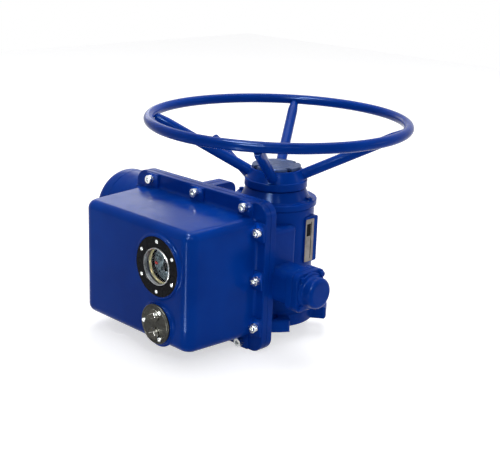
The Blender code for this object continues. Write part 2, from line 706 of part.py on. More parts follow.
def cut_housing_holes(housing):
    lug_places = around(FLANGE_LUG_COUNT, FLANGE_BOLT_CIRCLE_RADIUS, math.pi / 4)
    holes = many_mesh([(x, y, 0) for x, y in lug_places],
                      lambda: disc_mesh(FLANGE_BOLT_HOLE_RADIUS, -OVERCUT, FLANGE_THICKNESS + OVERCUT, SMALL))
    cut(housing, "valve_bolt_holes", holes)
    screw_hole = hole_radius(SCREW_RADIUS, HOLE)
    holes = many_mesh([(x, z, 0) for x, z in cover_screw_places()],
                      lambda: disc_mesh(screw_hole, -BACK_PLATE_BACK - ROOT, -BACK_PLATE_FRONT + ROOT, HOLE))
    cut(housing, "cover_screw_holes", holes, ALONG_MINUS_Y)
    holes = many_mesh([(x, y, 0) for x, y in top_screw_places()],
                      lambda: disc_mesh(hole_radius(TOP_SCREW_RADIUS, HOLE),
                                        COLUMN_HEIGHT - TOP_SCREW_GRIP - ROOT, COLUMN_HEIGHT + OVERCUT, HOLE))
    cut(housing, "top_screw_holes", holes)
    holes = many_mesh([(x, ENTRY_Y, 0) for x in ENTRY_X],
                      lambda: disc_mesh(hole_radius(ENTRY_RADIUS, FAIR), CASE_BOTTOM - ENTRY_BOSS_HEIGHT - OVERCUT,
                                        CASE_BOTTOM - ENTRY_BOSS_HEIGHT + ENTRY_DEPTH, FAIR))
    cut(housing, "cable_entries", holes)


def make_top_cover(paint):
    bearing = hole_radius(SLEEVE_BEARING_RADIUS, MEDIUM)
    through = hole_radius(SLEEVE_RADIUS, MEDIUM)
    seat = TOP_PLATE_Z + SLEEVE_BEARING_WIDTH - TOP_SPIGOT_HEIGHT + GAP
    spigot = (COLUMN_RADIUS - COLUMN_WALL) * math.cos(math.pi / MEDIUM) - GAP
    profile = [(bearing, TOP_PLATE_Z - TOP_SPIGOT_HEIGHT), (spigot, TOP_PLATE_Z - TOP_SPIGOT_HEIGHT),
               (spigot, TOP_PLATE_Z), (TOP_PLATE_RADIUS, TOP_PLATE_Z), (TOP_PLATE_RADIUS, TOP_PLATE_TOP),
               (TOP_NECK_RADIUS, TOP_PLATE_TOP), (TOP_NECK_RADIUS, TOP_NECK_TOP), (through, TOP_NECK_TOP),
               (through, seat), (bearing, seat)]
    cover = add_object("top_cover", turned_mesh(profile, ROUND), paint)
    ear_y = LEVER_EYE_WIDTH / 2 + GAP + LEVER_EAR_THICKNESS / 2
    for side in (-1, 1):
        ear = rounded_ear_mesh(side * ear_y)
        frame = lever_frame()
        add(cover, "lever_ear_" + ("a" if side < 0 else "b"), ear, frame.to_3x3(), frame.translation)
    frame = lever_frame()
    reach = ear_y + LEVER_EAR_THICKNESS
    pin_hole = disc_mesh(hole_radius(LEVER_PIN_RADIUS, SMALL), -reach, reach, SMALL)
    cut(cover, "lever_pin_hole", pin_hole, (frame @ ALONG_MINUS_Y).to_3x3(), frame.translation)
    holes = many_mesh([(x, y, 0) for x, y in top_screw_places()],
                      lambda: disc_mesh(hole_radius(TOP_SCREW_RADIUS, HOLE), TOP_PLATE_Z - ROOT,
                                        TOP_PLATE_TOP + ROOT, HOLE))
    cut(cover, "screw_holes", holes)
    return cover


def rounded_ear_mesh(middle):
    """An upright ear with a round top, standing on the top cover's plate, in the lever's frame."""
    base = -LEVER_PIVOT_HEIGHT - ROOT
    outline = [(-LEVER_EAR_RADIUS, base), (LEVER_EAR_RADIUS, base)]
    outline += arc(0, 0, LEVER_EAR_RADIUS, 0, math.pi, 6)
    builder = prism_mesh(outline, -LEVER_EAR_THICKNESS / 2, LEVER_EAR_THICKNESS / 2)
    bmesh.ops.transform(builder, verts=builder.verts, matrix=ALONG_MINUS_Y)
    bmesh.ops.translate(builder, verts=builder.verts, vec=(0, middle, 0))
    return builder


def drafted_box_mesh(inset, front, back):
    """The compartment's box, smaller at the front by the casting draft, with rounded edges."""
    builder = bmesh.new()
    depth = BOX_FLANGE_FRONT - BOX_FRONT
    corners = []
    for y in (front, back):
        share = (y - BOX_FRONT) / depth
        left = BOX_LEFT - BOX_SIDE_DRAFT * share + inset
        right = BOX_RIGHT + BOX_SIDE_DRAFT * share - inset
        bottom = BOX_BOTTOM - BOX_END_DRAFT * share + inset
        top = BOX_TOP + BOX_END_DRAFT * share - inset
        corners.append([builder.verts.new((x, y, z)) for x, z in
                        ((left, bottom), (right, bottom), (right, top), (left, top))])
    first, second = corners
    builder.faces.new(first)
    builder.faces.new(second)
    for index in range(4):
        after = (index + 1) % 4
        builder.faces.new((first[index], first[after], second[after], second[index]))
    middle = (BOX_BOTTOM + BOX_TOP) / 2
    upright = [edge for edge in builder.edges if all(vert in first for vert in edge.verts)
               and (edge.verts[0].co.z > middle) != (edge.verts[1].co.z > middle)]
    bmesh.ops.bevel(builder, geom=upright, offset=BOX_CORNER_FILLET - inset, segments=3, profile=0.5,
                    affect="EDGES")
    level = [edge for edge in builder.edges if (edge.verts[0].co.z > middle) == (edge.verts[1].co.z > middle)
             and not all(vert in second for vert in edge.verts)]
    bmesh.ops.bevel(builder, geom=level, offset=BOX_FILLET - inset, segments=3, profile=0.5, affect="EDGES")
    return builder


def screw_pads_mesh():
    """A raised pad under each cover screw, from the flange's edge to the middle of the box's wall."""
    builder = bmesh.new()
    wall = BOX_WALL / 2
    inner = (BOX_LEFT - BOX_SIDE_DRAFT + wall, BOX_RIGHT + BOX_SIDE_DRAFT - wall,
             BOX_BOTTOM - BOX_END_DRAFT + wall, BOX_TOP + BOX_END_DRAFT - wall)
    outer = (BOX_FLANGE_LEFT + SCREW_PAD_INSET, BOX_FLANGE_RIGHT - SCREW_PAD_INSET,
             BOX_FLANGE_BOTTOM + SCREW_PAD_INSET, BOX_FLANGE_TOP - SCREW_PAD_INSET)
    half = SCREW_PAD_LENGTH / 2
    front = BOX_FLANGE_FRONT - SCREW_PAD_HEIGHT
    for x, z in cover_screw_places():
        low = [x - half, front, z - half]
        high = [x + half, BOX_FLANGE_FRONT + ROOT, z + half]
        if x - half < inner[0]:
            low[0], high[0] = outer[0], inner[0]
        elif x + half > inner[1]:
            low[0], high[0] = inner[1], outer[1]
        elif z < inner[2]:
            low[2], high[2] = outer[2], inner[2]
        else:
            low[2], high[2] = inner[3], outer[3]
        merge_into(builder, box_mesh(low, high), Matrix.Identity(4))
    return builder


def boss_mesh(radius, height, flare):
    """A round boss that swells out of the compartment's front face, with a soft edge."""
    foot = BOX_WALL / 2
    edge = BOSS_EDGE_FILLET
    profile = [(0, -foot), (radius + flare, -foot), (radius + flare, 0), (radius + flare / 3, height / 4),
               (radius, height * 2 / 3), (radius, height - edge), (radius - edge, height), (0, height)]
    return turned_mesh(profile, ROUND)


def make_cover(paint):
    shell = drafted_box_mesh(0, BOX_FRONT, BOX_FLANGE_FRONT + BOX_WALL)
    cover = add_object("cover", shell, paint)
    flange = box_outline_xz(BOX_FLANGE_LEFT, BOX_FLANGE_RIGHT, BOX_FLANGE_BOTTOM, BOX_FLANGE_TOP,
                            BOX_FLANGE_FILLET)
    flange_back = BOX_FLANGE_FRONT + BOX_FLANGE_THICKNESS
    add(cover, "flange", prism_mesh(flange, -flange_back, -BOX_FLANGE_FRONT), ALONG_MINUS_Y)
    add(cover, "window_boss", boss_mesh(WINDOW_BOSS_RADIUS, WINDOW_BOSS_HEIGHT, WINDOW_BOSS_FLARE),
        ALONG_MINUS_Y, (WINDOW_X, BOX_FRONT, WINDOW_Z))
    add(cover, "control_boss", boss_mesh(CONTROL_BOSS_RADIUS, CONTROL_BOSS_HEIGHT, CONTROL_BOSS_FLARE),
        ALONG_MINUS_Y, (CONTROL_X, BOX_FRONT, CONTROL_Z))
    add(cover, "screw_pads", screw_pads_mesh())
    inside = drafted_box_mesh(BOX_WALL, BOX_FRONT + BOX_WALL, flange_back + OVERCUT)
    cut(cover, "inside", inside)
    opening = disc_mesh(CONTROL_OPENING_RADIUS, -BOX_WALL - OVERCUT, CONTROL_BOSS_HEIGHT + OVERCUT, MEDIUM)
    cut(cover, "control_opening", opening, ALONG_MINUS_Y, (CONTROL_X, BOX_FRONT, CONTROL_Z))
    seat = WINDOW_BOSS_HEIGHT - WINDOW_RING_THICKNESS
    glass_seat = seat - GAP - WINDOW_GLASS_THICKNESS - GAP
    ring = hole_radius(WINDOW_RING_RADIUS, ROUND)
    glass = hole_radius(WINDOW_GLASS_RADIUS, ROUND)
    profile = [(0, -BOX_WALL - OVERCUT), (WINDOW_OPENING_RADIUS, -BOX_WALL - OVERCUT),
               (WINDOW_OPENING_RADIUS, glass_seat), (glass, glass_seat), (glass, seat - GAP), (ring, seat - GAP),
               (ring, WINDOW_BOSS_HEIGHT + OVERCUT), (0, WINDOW_BOSS_HEIGHT + OVERCUT)]
    cut(cover, "window", turned_mesh(profile, ROUND), ALONG_MINUS_Y, (WINDOW_X, BOX_FRONT, WINDOW_Z))
    holes = many_mesh([(x, z, 0) for x, z in cover_screw_places()],
                      lambda: disc_mesh(hole_radius(SCREW_RADIUS, HOLE), -flange_back - ROOT,
                                        SCREW_PAD_HEIGHT - BOX_FLANGE_FRONT + ROOT, HOLE))
    cut(cover, "screw_holes", holes, ALONG_MINUS_Y)
    return cover


def make_gasket(rubber):
    back = BOX_FLANGE_FRONT + BOX_FLANGE_THICKNESS + GAP
    inset = GASKET_INSET
    outline = box_outline_xz(BOX_FLANGE_LEFT + inset, BOX_FLANGE_RIGHT - inset, BOX_FLANGE_BOTTOM + inset,
                             BOX_FLANGE_TOP - inset, BOX_FLANGE_FILLET - inset)
    sheet = prism_mesh(outline, -back - GASKET_THICKNESS, -back)
    gasket = add_object("cover_gasket", sheet, rubber, ALONG_MINUS_Y)
    outline = box_outline_xz(BOX_LEFT, BOX_RIGHT, BOX_BOTTOM, BOX_TOP, BOX_FILLET)
    cut(gasket, "window", prism_mesh(outline, -back - OVERCUT, -back + OVERCUT), ALONG_MINUS_Y)
    holes = many_mesh([(x, z, 0) for x, z in cover_screw_places()],
                      lambda: disc_mesh(hole_radius(SCREW_RADIUS, HOLE), -back - OVERCUT, -back + OVERCUT,
                                        HOLE))
    cut(gasket, "screw_holes", holes, ALONG_MINUS_Y)
    return gasket


# Screws

def socket_screw_mesh(radius, head_radius, head_height, length, socket, depth):
    """A socket-head screw along Z: the head stands up from Z = 0 and the shank goes down."""
    profile = [(0, -length), (radius, -length), (radius, 0), (head_radius, 0),
               (head_radius, head_height * 0.85), (head_radius * 0.88, head_height), (0, head_height)]
    builder = turned_mesh(profile, SMALL)
    top = [face for face in builder.faces if face.calc_center_median().z > head_height - 1e-6]
    bmesh.ops.dissolve_faces(builder, faces=top)
    top = [face for face in builder.faces if face.calc_center_median().z > head_height - 1e-6]
    share = head_radius * 0.88 - socket / 2
    bmesh.ops.inset_region(builder, faces=top, thickness=share, use_even_offset=True)
    bmesh.ops.translate(builder, verts=list({v for face in top for v in face.verts}), vec=(0, 0, -depth))
    bottom = [face for face in builder.faces if face.calc_center_median().z < -length + 1e-6]
    bmesh.ops.dissolve_faces(builder, faces=bottom)
    return builder


def make_cover_screws(zinc):
    length = SCREW_PAD_HEIGHT + BOX_FLANGE_THICKNESS + GASKET_THICKNESS + BACK_PLATE_THICKNESS
    seat = BOX_FLANGE_FRONT - SCREW_PAD_HEIGHT - GAP
    for index, (x, z) in enumerate(cover_screw_places()):
        mesh = socket_screw_mesh(SCREW_RADIUS, SCREW_HEAD_RADIUS, SCREW_HEAD_HEIGHT, length,
                                 SCREW_SOCKET_ACROSS_FLATS, SCREW_SOCKET_DEPTH)
        add_object("cover_screw_%d" % (index + 1), mesh, zinc, ALONG_MINUS_Y, (x, seat, z))


def make_top_cover_screws(paint):
    for index, (x, y) in enumerate(top_screw_places()):
        mesh = socket_screw_mesh(TOP_SCREW_RADIUS, TOP_SCREW_HEAD_RADIUS, TOP_SCREW_HEAD_HEIGHT,
                                 TOP_PLATE_THICKNESS + TOP_SCREW_GRIP, TOP_SCREW_SOCKET_ACROSS_FLATS,
                                 TOP_SCREW_SOCKET_DEPTH)
        add_object("top_cover_screw_%d" % (index + 1), mesh, paint, None, (x, y, TOP_PLATE_TOP + GAP))


# Window, dial and controls

def pointer_outline():
    """A tapered blade and a wide tail of the same moment, so that the pointer balances on its shaft."""
    moment = POINTER_WIDTH * POINTER_LENGTH ** 2 / 6
    tail = moment / POINTER_TAIL_LENGTH ** 2
    half = POINTER_WIDTH / 2
    return [(half, 0), (0, POINTER_LENGTH), (-half, 0), (-tail, 0), (-tail, -POINTER_TAIL_LENGTH),
            (tail, -POINTER_TAIL_LENGTH), (tail, 0)]


def make_window(black, glass_finish, dial_finish, pointer_finish):
    centre = (WINDOW_X, BOX_FRONT, WINDOW_Z)
    seat = WINDOW_BOSS_HEIGHT - WINDOW_RING_THICKNESS
    ring = [(WINDOW_OPENING_RADIUS, seat), (WINDOW_RING_RADIUS, seat),
            (WINDOW_RING_RADIUS, WINDOW_BOSS_HEIGHT + GAP),
            (WINDOW_OPENING_RADIUS + WINDOW_RING_CHAMFER, WINDOW_BOSS_HEIGHT + GAP),
            (WINDOW_OPENING_RADIUS, WINDOW_BOSS_HEIGHT - WINDOW_RING_CHAMFER)]
    add_object("window_ring", turned_mesh(ring, ROUND), black, ALONG_MINUS_Y, centre)
    top = seat - GAP
    glass = disc_mesh(WINDOW_GLASS_RADIUS, top - WINDOW_GLASS_THICKNESS, top, MEDIUM)
    add_object("window_glass", glass, glass_finish, ALONG_MINUS_Y, centre)
    dial_top = top - WINDOW_GLASS_THICKNESS - DIAL_DEPTH
    unit_front = dial_top - DIAL_HUB_LENGTH
    shaft = hole_radius(POINTER_SHAFT_RADIUS, HOLE)
    dial = [(shaft, unit_front), (DIAL_HUB_RADIUS, unit_front), (DIAL_HUB_RADIUS, dial_top - DIAL_THICKNESS),
            (DIAL_RADIUS, dial_top - DIAL_THICKNESS), (DIAL_RADIUS, dial_top), (shaft, dial_top)]
    add_object("dial", turned_mesh(dial, MEDIUM), dial_finish, ALONG_MINUS_Y, centre)
    pointer_bottom = dial_top + POINTER_THICKNESS
    pointer_top = pointer_bottom + POINTER_THICKNESS
    pointer = add_object("pointer", prism_mesh(pointer_outline(), pointer_bottom, pointer_top), pointer_finish,
                         ALONG_MINUS_Y, centre)
    cap_foot = pointer_bottom - (pointer_bottom - dial_top) / 2
    cap_top = pointer_top + POINTER_THICKNESS
    stem = [(0, unit_front - UNIT_SHAFT_DEPTH), (POINTER_SHAFT_RADIUS, unit_front - UNIT_SHAFT_DEPTH),
            (POINTER_SHAFT_RADIUS, cap_foot), (POINTER_CAP_RADIUS, cap_foot),
            (POINTER_CAP_RADIUS, cap_top), (0, cap_top)]
    add(pointer, "stem", turned_mesh(stem, HOLE), ALONG_MINUS_Y, centre)
    return unit_front


def make_controls(steel, dark):
    centre = (CONTROL_X, BOX_FRONT, CONTROL_Z)
    seat = CONTROL_BOSS_HEIGHT + GAP
    top = seat + CONTROL_PLATE_THICKNESS
    plate = add_object("control_plate", disc_mesh(CONTROL_PLATE_RADIUS, seat, top, ROUND), steel,
                       ALONG_MINUS_Y, centre)
    shaft_hole = hole_radius(KNOB_SHAFT_RADIUS, SMALL)
    holes = many_mesh([(0, side * KNOB_PITCH / 2, 0) for side in (-1, 1)],
                      lambda: disc_mesh(shaft_hole, seat - OVERCUT, top + OVERCUT, SMALL))
    cut(plate, "shaft_holes", holes, ALONG_MINUS_Y, centre)
    back = seat - GAP - KNOB_SHAFT_DEPTH
    for name, side in (("mode_knob", 1), ("command_knob", -1)):
        knob = [(0, back), (KNOB_SHAFT_RADIUS, back), (KNOB_SHAFT_RADIUS, top + GAP), (KNOB_RADIUS, top + GAP),
                (KNOB_RADIUS, top + KNOB_LENGTH - KNOB_CHAMFER), (KNOB_RADIUS - KNOB_CHAMFER, top + KNOB_LENGTH),
                (0, top + KNOB_LENGTH)]
        place = (CONTROL_X, BOX_FRONT, CONTROL_Z + side * KNOB_PITCH / 2)
        item = add_object(name, turned_mesh(knob, FAIR), steel, ALONG_MINUS_Y, place)
        turned = ALONG_MINUS_Y @ Matrix.Rotation(KNOB_REST_ANGLE, 4, "Z")
        reach = KNOB_RADIUS + ROOT
        for flank in (-1, 1):
            near, far = sorted((flank * KNOB_GRIP_WIDTH / 2, flank * reach))
            block = box_mesh((-reach, near, top + KNOB_LENGTH - KNOB_GRIP_HEIGHT),
                             (reach, far, top + KNOB_LENGTH + ROOT))
            cut(item, "grip_" + ("a" if flank < 0 else "b"), block, turned, place)
    rear = -BOX_WALL - GAP
    block = box_mesh((-SELECTOR_WIDTH / 2, -SELECTOR_HEIGHT / 2, rear - SELECTOR_DEPTH),
                     (SELECTOR_WIDTH / 2, SELECTOR_HEIGHT / 2, rear), UNIT_FILLET, 1)
    switch = add_object("selector_switch", block, dark, ALONG_MINUS_Y, centre)
    neck = CONTROL_OPENING_RADIUS * math.cos(math.pi / MEDIUM) - GAP
    add(switch, "neck", disc_mesh(neck, rear - ROOT, seat - GAP, MEDIUM), ALONG_MINUS_Y, centre)
    holes = many_mesh([(0, side * KNOB_PITCH / 2, 0) for side in (-1, 1)],
                      lambda: disc_mesh(shaft_hole, back - GAP, seat + OVERCUT, SMALL))
    cut(switch, "shaft_holes", holes, ALONG_MINUS_Y, centre)


def make_compartment_inside(unit_front, steel, dark, pale):
    margin = BOX_WALL + PLATE_MARGIN
    low = (BOX_LEFT + margin, PLATE_FRONT, BOX_BOTTOM + margin)
    high = (BOX_RIGHT - margin, PLATE_FRONT + PLATE_THICKNESS, BOX_TOP - margin)
    add_object("mounting_plate", box_mesh(low, high), steel)
    seat = PLATE_FRONT - GAP
    half_width = SWITCH_UNIT_WIDTH / 2
    bottom = WINDOW_Z - SWITCH_UNIT_HEIGHT / 2
    top = WINDOW_Z + SWITCH_UNIT_HEIGHT / 2
    unit = box_mesh((WINDOW_X - half_width, BOX_FRONT - unit_front + GAP, bottom),
                    (WINDOW_X + half_width, seat, top), UNIT_FILLET, 1)
    unit = add_object("travel_switch", unit, dark)
    shaft_hole = disc_mesh(hole_radius(POINTER_SHAFT_RADIUS, HOLE), unit_front - UNIT_SHAFT_DEPTH - ROOT,
                           unit_front + OVERCUT, HOLE)
    cut(unit, "shaft_hole", shaft_hole, ALONG_MINUS_Y, (WINDOW_X, BOX_FRONT, WINDOW_Z))
    left = BOX_LEFT + margin + SWITCH_UNIT_MARGIN
    right = left + TORQUE_UNIT_WIDTH
    torque = box_mesh((left, seat - TORQUE_UNIT_DEPTH, bottom), (right, seat, top), UNIT_FILLET, 1)
    add_object("torque_switch", torque, dark)
    left = right + SWITCH_UNIT_MARGIN
    relay = box_mesh((left, seat - CONTACTOR_DEPTH, bottom), (left + CONTACTOR_WIDTH, seat, top), UNIT_FILLET, 1)
    add_object("contactor", relay, dark)
    make_terminal_block(margin, seat, pale)


def make_terminal_block(margin, seat, pale):
    """A row of terminals: a long block with a slot between each pair of ways."""
    left = BOX_LEFT + margin + TERMINAL_LEFT_MARGIN
    right = BOX_RIGHT - margin - TERMINAL_RIGHT_MARGIN
    step = (right - left) / TERMINAL_WAYS
    front = seat - TERMINAL_DEPTH
    slot_floor = front + TERMINAL_SLOT_DEPTH
    half = TERMINAL_SLOT_WIDTH / 2
    outline = [(left, front)]
    for way in range(1, TERMINAL_WAYS):
        middle = left + way * step
        outline += [(middle - half, front), (middle - half, slot_floor),
                    (middle + half, slot_floor), (middle + half, front)]
    outline += [(right, front), (right, seat), (left, seat)]
    bottom = BOX_BOTTOM + margin + SWITCH_UNIT_MARGIN
    add_object("terminal_block", prism_mesh(outline, bottom, bottom + TERMINAL_HEIGHT), pale)


# Drive train

def make_motor(paint, steel, copper):
    place = (0, MOTOR_Y, MOTOR_AXIS_HEIGHT)
    section = rounded_rectangle(MOTOR_FLANGE_SIDE, MOTOR_FLANGE_SIDE, MOTOR_FLANGE_FILLET)
    front = MOTOR_FACE_X - GAP
    body = add_object("motor_body", prism_mesh(section, MOTOR_FLANGE_END_X, front), paint, ALONG_X, place)
    barrel = disc_mesh(MOTOR_RADIUS, MOTOR_BODY_END_X, MOTOR_FLANGE_END_X + ROOT, ROUND)
    add(body, "barrel", barrel, ALONG_X, place)
    add(body, "register", disc_mesh(MOTOR_REGISTER_RADIUS, front - ROOT, front + MOTOR_REGISTER_DEPTH, MEDIUM),
        ALONG_X, place)
    inner = MOTOR_RADIUS - MOTOR_WALL
    cavity_front = front - MOTOR_SHIELD_THICKNESS
    bearing = hole_radius(MOTOR_BEARING_RADIUS, FAIR)
    through = hole_radius(MOTOR_SHAFT_RADIUS, FAIR) + HOLE_CLEARANCE
    seat = cavity_front + MOTOR_BEARING_WIDTH + GAP
    open_end = front + MOTOR_REGISTER_DEPTH + OVERCUT
    profile = [(0, MOTOR_BODY_END_X - OVERCUT), (inner, MOTOR_BODY_END_X - OVERCUT), (inner, cavity_front),
               (bearing, cavity_front), (bearing, seat), (through, seat), (through, open_end), (0, open_end)]
    cut(body, "inside", turned_mesh(profile, MEDIUM), ALONG_X, place)
    make_motor_end_cover(paint, place)
    make_motor_inside(place, cavity_front, steel, copper)


def make_motor_end_cover(paint, place):
    front = MOTOR_BODY_END_X - GAP
    back = front - MOTOR_END_LENGTH
    inner = (MOTOR_RADIUS - MOTOR_WALL) * math.cos(math.pi / MEDIUM) - GAP
    bearing = hole_radius(MOTOR_BEARING_RADIUS, FAIR)
    fillet = MOTOR_END_FILLET
    profile = [(0, back)]
    profile += [(y, x) for x, y in arc(back + fillet, MOTOR_RADIUS - fillet, fillet, math.pi, math.pi / 2, 4)]
    spigot = front + MOTOR_END_SPIGOT
    floor = front - MOTOR_END_SPIGOT
    profile += [(MOTOR_RADIUS, front), (inner, front), (inner, spigot), (inner - MOTOR_WALL, spigot),
                (inner - MOTOR_WALL, floor), (bearing, floor), (bearing, motor_rear_bearing()),
                (0, motor_rear_bearing())]
    add_object("motor_end_cover", turned_mesh(profile, MEDIUM), paint, ALONG_X, place)


def motor_rear_bearing():
    """The back face of the seat of the rear bearing."""
    return MOTOR_BODY_END_X - GAP - MOTOR_END_SPIGOT - MOTOR_BEARING_WIDTH - GAP


def make_motor_inside(place, cavity_front, steel, copper):
    middle = (cavity_front + MOTOR_BODY_END_X) / 2
    start = middle - MOTOR_CORE_LENGTH / 2
    end = middle + MOTOR_CORE_LENGTH / 2
    stator_outer = (MOTOR_RADIUS - MOTOR_WALL) * math.cos(math.pi / MEDIUM) - GAP
    stator_inner = (MOTOR_ROTOR_RADIUS + MOTOR_AIR_GAP) / math.cos(math.pi / MEDIUM)
    winding_inner = stator_inner + WINDING_TAPER
    winding_foot = stator_outer - WINDING_SETBACK
    winding_outer = winding_foot - WINDING_TAPER
    low = start - WINDING_OVERHANG
    high = end + WINDING_OVERHANG
    stator = [(stator_inner, start), (winding_inner, low), (winding_outer, low), (winding_foot, start),
              (stator_outer, start), (stator_outer, end), (winding_foot, end), (winding_outer, high),
              (winding_inner, high), (stator_inner, end)]
    add_object("motor_stator", turned_mesh(stator, MEDIUM), copper, ALONG_X, place)
    shaft_end = motor_rear_bearing() + GAP
    outline = gear_outline(PINION_TEETH, SPUR_MODULE, SPUR_BACKLASH, pinion_phase())
    pinion = prism_mesh(outline, SPUR_GEAR_X - PINION_WIDTH / 2, SPUR_GEAR_X + PINION_WIDTH / 2)
    rotor = add_object("motor_rotor", pinion, steel, ALONG_X, place)
    nose = SPUR_GEAR_X + PINION_WIDTH / 2 + ROOT
    core = [(0, shaft_end), (MOTOR_SHAFT_RADIUS, shaft_end), (MOTOR_SHAFT_RADIUS, start),
            (MOTOR_ROTOR_RADIUS, start), (MOTOR_ROTOR_RADIUS, end), (MOTOR_SHAFT_RADIUS, end),
            (MOTOR_SHAFT_RADIUS, nose), (0, nose)]
    add(rotor, "shaft", turned_mesh(core, FAIR), ALONG_X, place)
    ring_inner = hole_radius(MOTOR_SHAFT_RADIUS, FAIR)
    for name, low in (("motor_bearing_front", cavity_front), ("motor_bearing_rear", motor_rear_bearing() + GAP)):
        ring = ring_mesh(MOTOR_BEARING_RADIUS, ring_inner, low, low + MOTOR_BEARING_WIDTH, FAIR)
        add_object(name, ring, steel, ALONG_X, place)


def pinion_phase():
    """The local angle from the pinion to the spur gear, where the pinion has a tooth."""
    return math.atan2(WORM_Y - MOTOR_Y, -(WORM_AXIS_HEIGHT - MOTOR_AXIS_HEIGHT))


def make_worm_shaft(steel, bronze, paint):
    place = (0, WORM_Y, WORM_AXIS_HEIGHT)
    root = WORM_PITCH_RADIUS - WORM_MODULE * 1.25
    left = SPUR_GEAR_X - SPUR_WIDTH / 2 - WORM_SHAFT_OVERHANG
    right = BEARING_RIGHT_X + WORM_BEARING_WIDTH / 2
    reach = WORM_LENGTH / 2 + WORM_RELIEF_LENGTH
    shaft = [(0, left), (WORM_SHAFT_RADIUS, left), (WORM_SHAFT_RADIUS, -reach - GAP), (root, -reach),
             (root, reach), (WORM_SHAFT_RADIUS, reach + GAP), (WORM_SHAFT_RADIUS, right), (0, right)]
    worm = add_object("worm_shaft", turned_mesh(shaft, WORM_STEPS_PER_TURN), steel, ALONG_X, place)
    add(worm, "thread", worm_thread_mesh(), ALONG_X, place)
    phase = pinion_phase() + math.pi + math.pi / SPUR_GEAR_TEETH
    outline = gear_outline(SPUR_GEAR_TEETH, SPUR_MODULE, SPUR_BACKLASH, phase)
    gear = prism_mesh(outline, SPUR_GEAR_X - SPUR_WIDTH / 2, SPUR_GEAR_X + SPUR_WIDTH / 2)
    gear = add_object("spur_gear", gear, steel, ALONG_X, place)
    eye = hole_radius(WORM_SHAFT_RADIUS, FAIR)
    bore = disc_mesh(eye, SPUR_GEAR_X - SPUR_WIDTH, SPUR_GEAR_X + SPUR_WIDTH, FAIR)
    cut(gear, "bore", bore, ALONG_X, place)
    ring_inner = hole_radius(WORM_SHAFT_RADIUS, FAIR)
    for name, middle in (("worm_bearing_inner", BEARING_LEFT_X), ("worm_bearing_outer", BEARING_RIGHT_X)):
        low = middle - WORM_BEARING_WIDTH / 2
        ring = ring_mesh(WORM_BEARING_RADIUS, ring_inner, low, low + WORM_BEARING_WIDTH, FAIR)
        add_object(name, ring, bronze, ALONG_X, place)
    make_worm_end_cap(paint, place)


def make_worm_end_cap(paint, place):
    start = WORM_CASE_END + WORM_END_FLANGE_THICKNESS + GAP
    plate_end = start + WORM_CAP_PLATE_THICKNESS
    section = rounded_rectangle(WORM_END_FLANGE_SIDE, WORM_END_FLANGE_SIDE, WORM_END_FLANGE_FILLET)
    cap = add_object("worm_end_cap", prism_mesh(section, start, plate_end), paint, ALONG_X, place)
    top = plate_end + WORM_CAP_DOME_HEIGHT
    fillet = WORM_CAP_DOME_FILLET
    profile = [(0, plate_end - ROOT), (WORM_CAP_DOME_RADIUS, plate_end - ROOT)]
    profile += [(y, x) for x, y in arc(top - fillet, WORM_CAP_DOME_RADIUS - fillet, fillet, math.pi / 2, 0, 4)]
    profile += [(0, top)]
    add(cap, "dome", turned_mesh(profile, MEDIUM), ALONG_X, place)


def make_output(steel, bronze):
    twist = WORM_MODULE / 2 / (WORM_PITCH_RADIUS * WORM_MODULE * WORM_WHEEL_TEETH / 2)
    phase = -math.pi / 2 + math.pi / WORM_WHEEL_TEETH
    outline = gear_outline(WORM_WHEEL_TEETH, WORM_MODULE, WORM_BACKLASH, phase)
    place = (0, 0, WORM_AXIS_HEIGHT)
    half = WORM_WHEEL_WIDTH / 2
    wheel = add_object("worm_wheel", helical_mesh(outline, -half, half, twist), bronze, None, place)
    hub_half = WORM_WHEEL_HUB_WIDTH / 2
    add(wheel, "hub", disc_mesh(WORM_WHEEL_HUB_RADIUS, -hub_half, hub_half, MEDIUM), None, place)
    bore = disc_mesh(hole_radius(SLEEVE_RADIUS, MEDIUM), -WORM_WHEEL_HUB_WIDTH, WORM_WHEEL_HUB_WIDTH, MEDIUM)
    cut(wheel, "bore", bore, None, place)
    low = ring_mesh(SLEEVE_RADIUS, SLEEVE_BORE_RADIUS, SLEEVE_FOOT, SLEEVE_TOP, MEDIUM)
    add_object("output_sleeve", low, steel)
    ring_inner = hole_radius(SLEEVE_RADIUS, MEDIUM)
    seat = COLUMN_FLOOR - SLEEVE_BEARING_WIDTH
    upper = TOP_PLATE_Z - TOP_SPIGOT_HEIGHT
    for name, bottom in (("sleeve_bearing_lower", seat), ("sleeve_bearing_upper", upper)):
        ring = ring_mesh(SLEEVE_BEARING_RADIUS, ring_inner, bottom, bottom + SLEEVE_BEARING_WIDTH, MEDIUM)
        add_object(name, ring, steel)


# Handwheel

def hub_profile(grow):
    """The hub's outer profile, made larger by a small amount for cutting what sits on it."""
    return [(0, HUB_BOTTOM - grow), (HUB_RADIUS + grow, HUB_BOTTOM - grow),
            (HUB_RADIUS + grow, HUB_BOTTOM + HUB_SKIRT_HEIGHT + grow), (HUB_TOP_RADIUS + grow, HUB_TOP + grow),
            (0, HUB_TOP + grow)]


def rim_mesh(tube_radius):
    builder = bmesh.new()
    place = Matrix.Translation((WHEEL_RADIUS, 0, WHEEL_HEIGHT)) @ Matrix.Rotation(math.pi / 2, 4, "X")
    bmesh.ops.create_circle(builder, segments=RIM_SIDES, radius=tube_radius, matrix=place)
    geometry = builder.verts[:] + builder.edges[:]
    bmesh.ops.spin(builder, geom=geometry, cent=(0, 0, 0), axis=(0, 0, 1), angle=2 * math.pi,
                   steps=RIM_STEPS, use_merge=True)
    bmesh.ops.remove_doubles(builder, verts=builder.verts, dist=1e-7)
    return builder


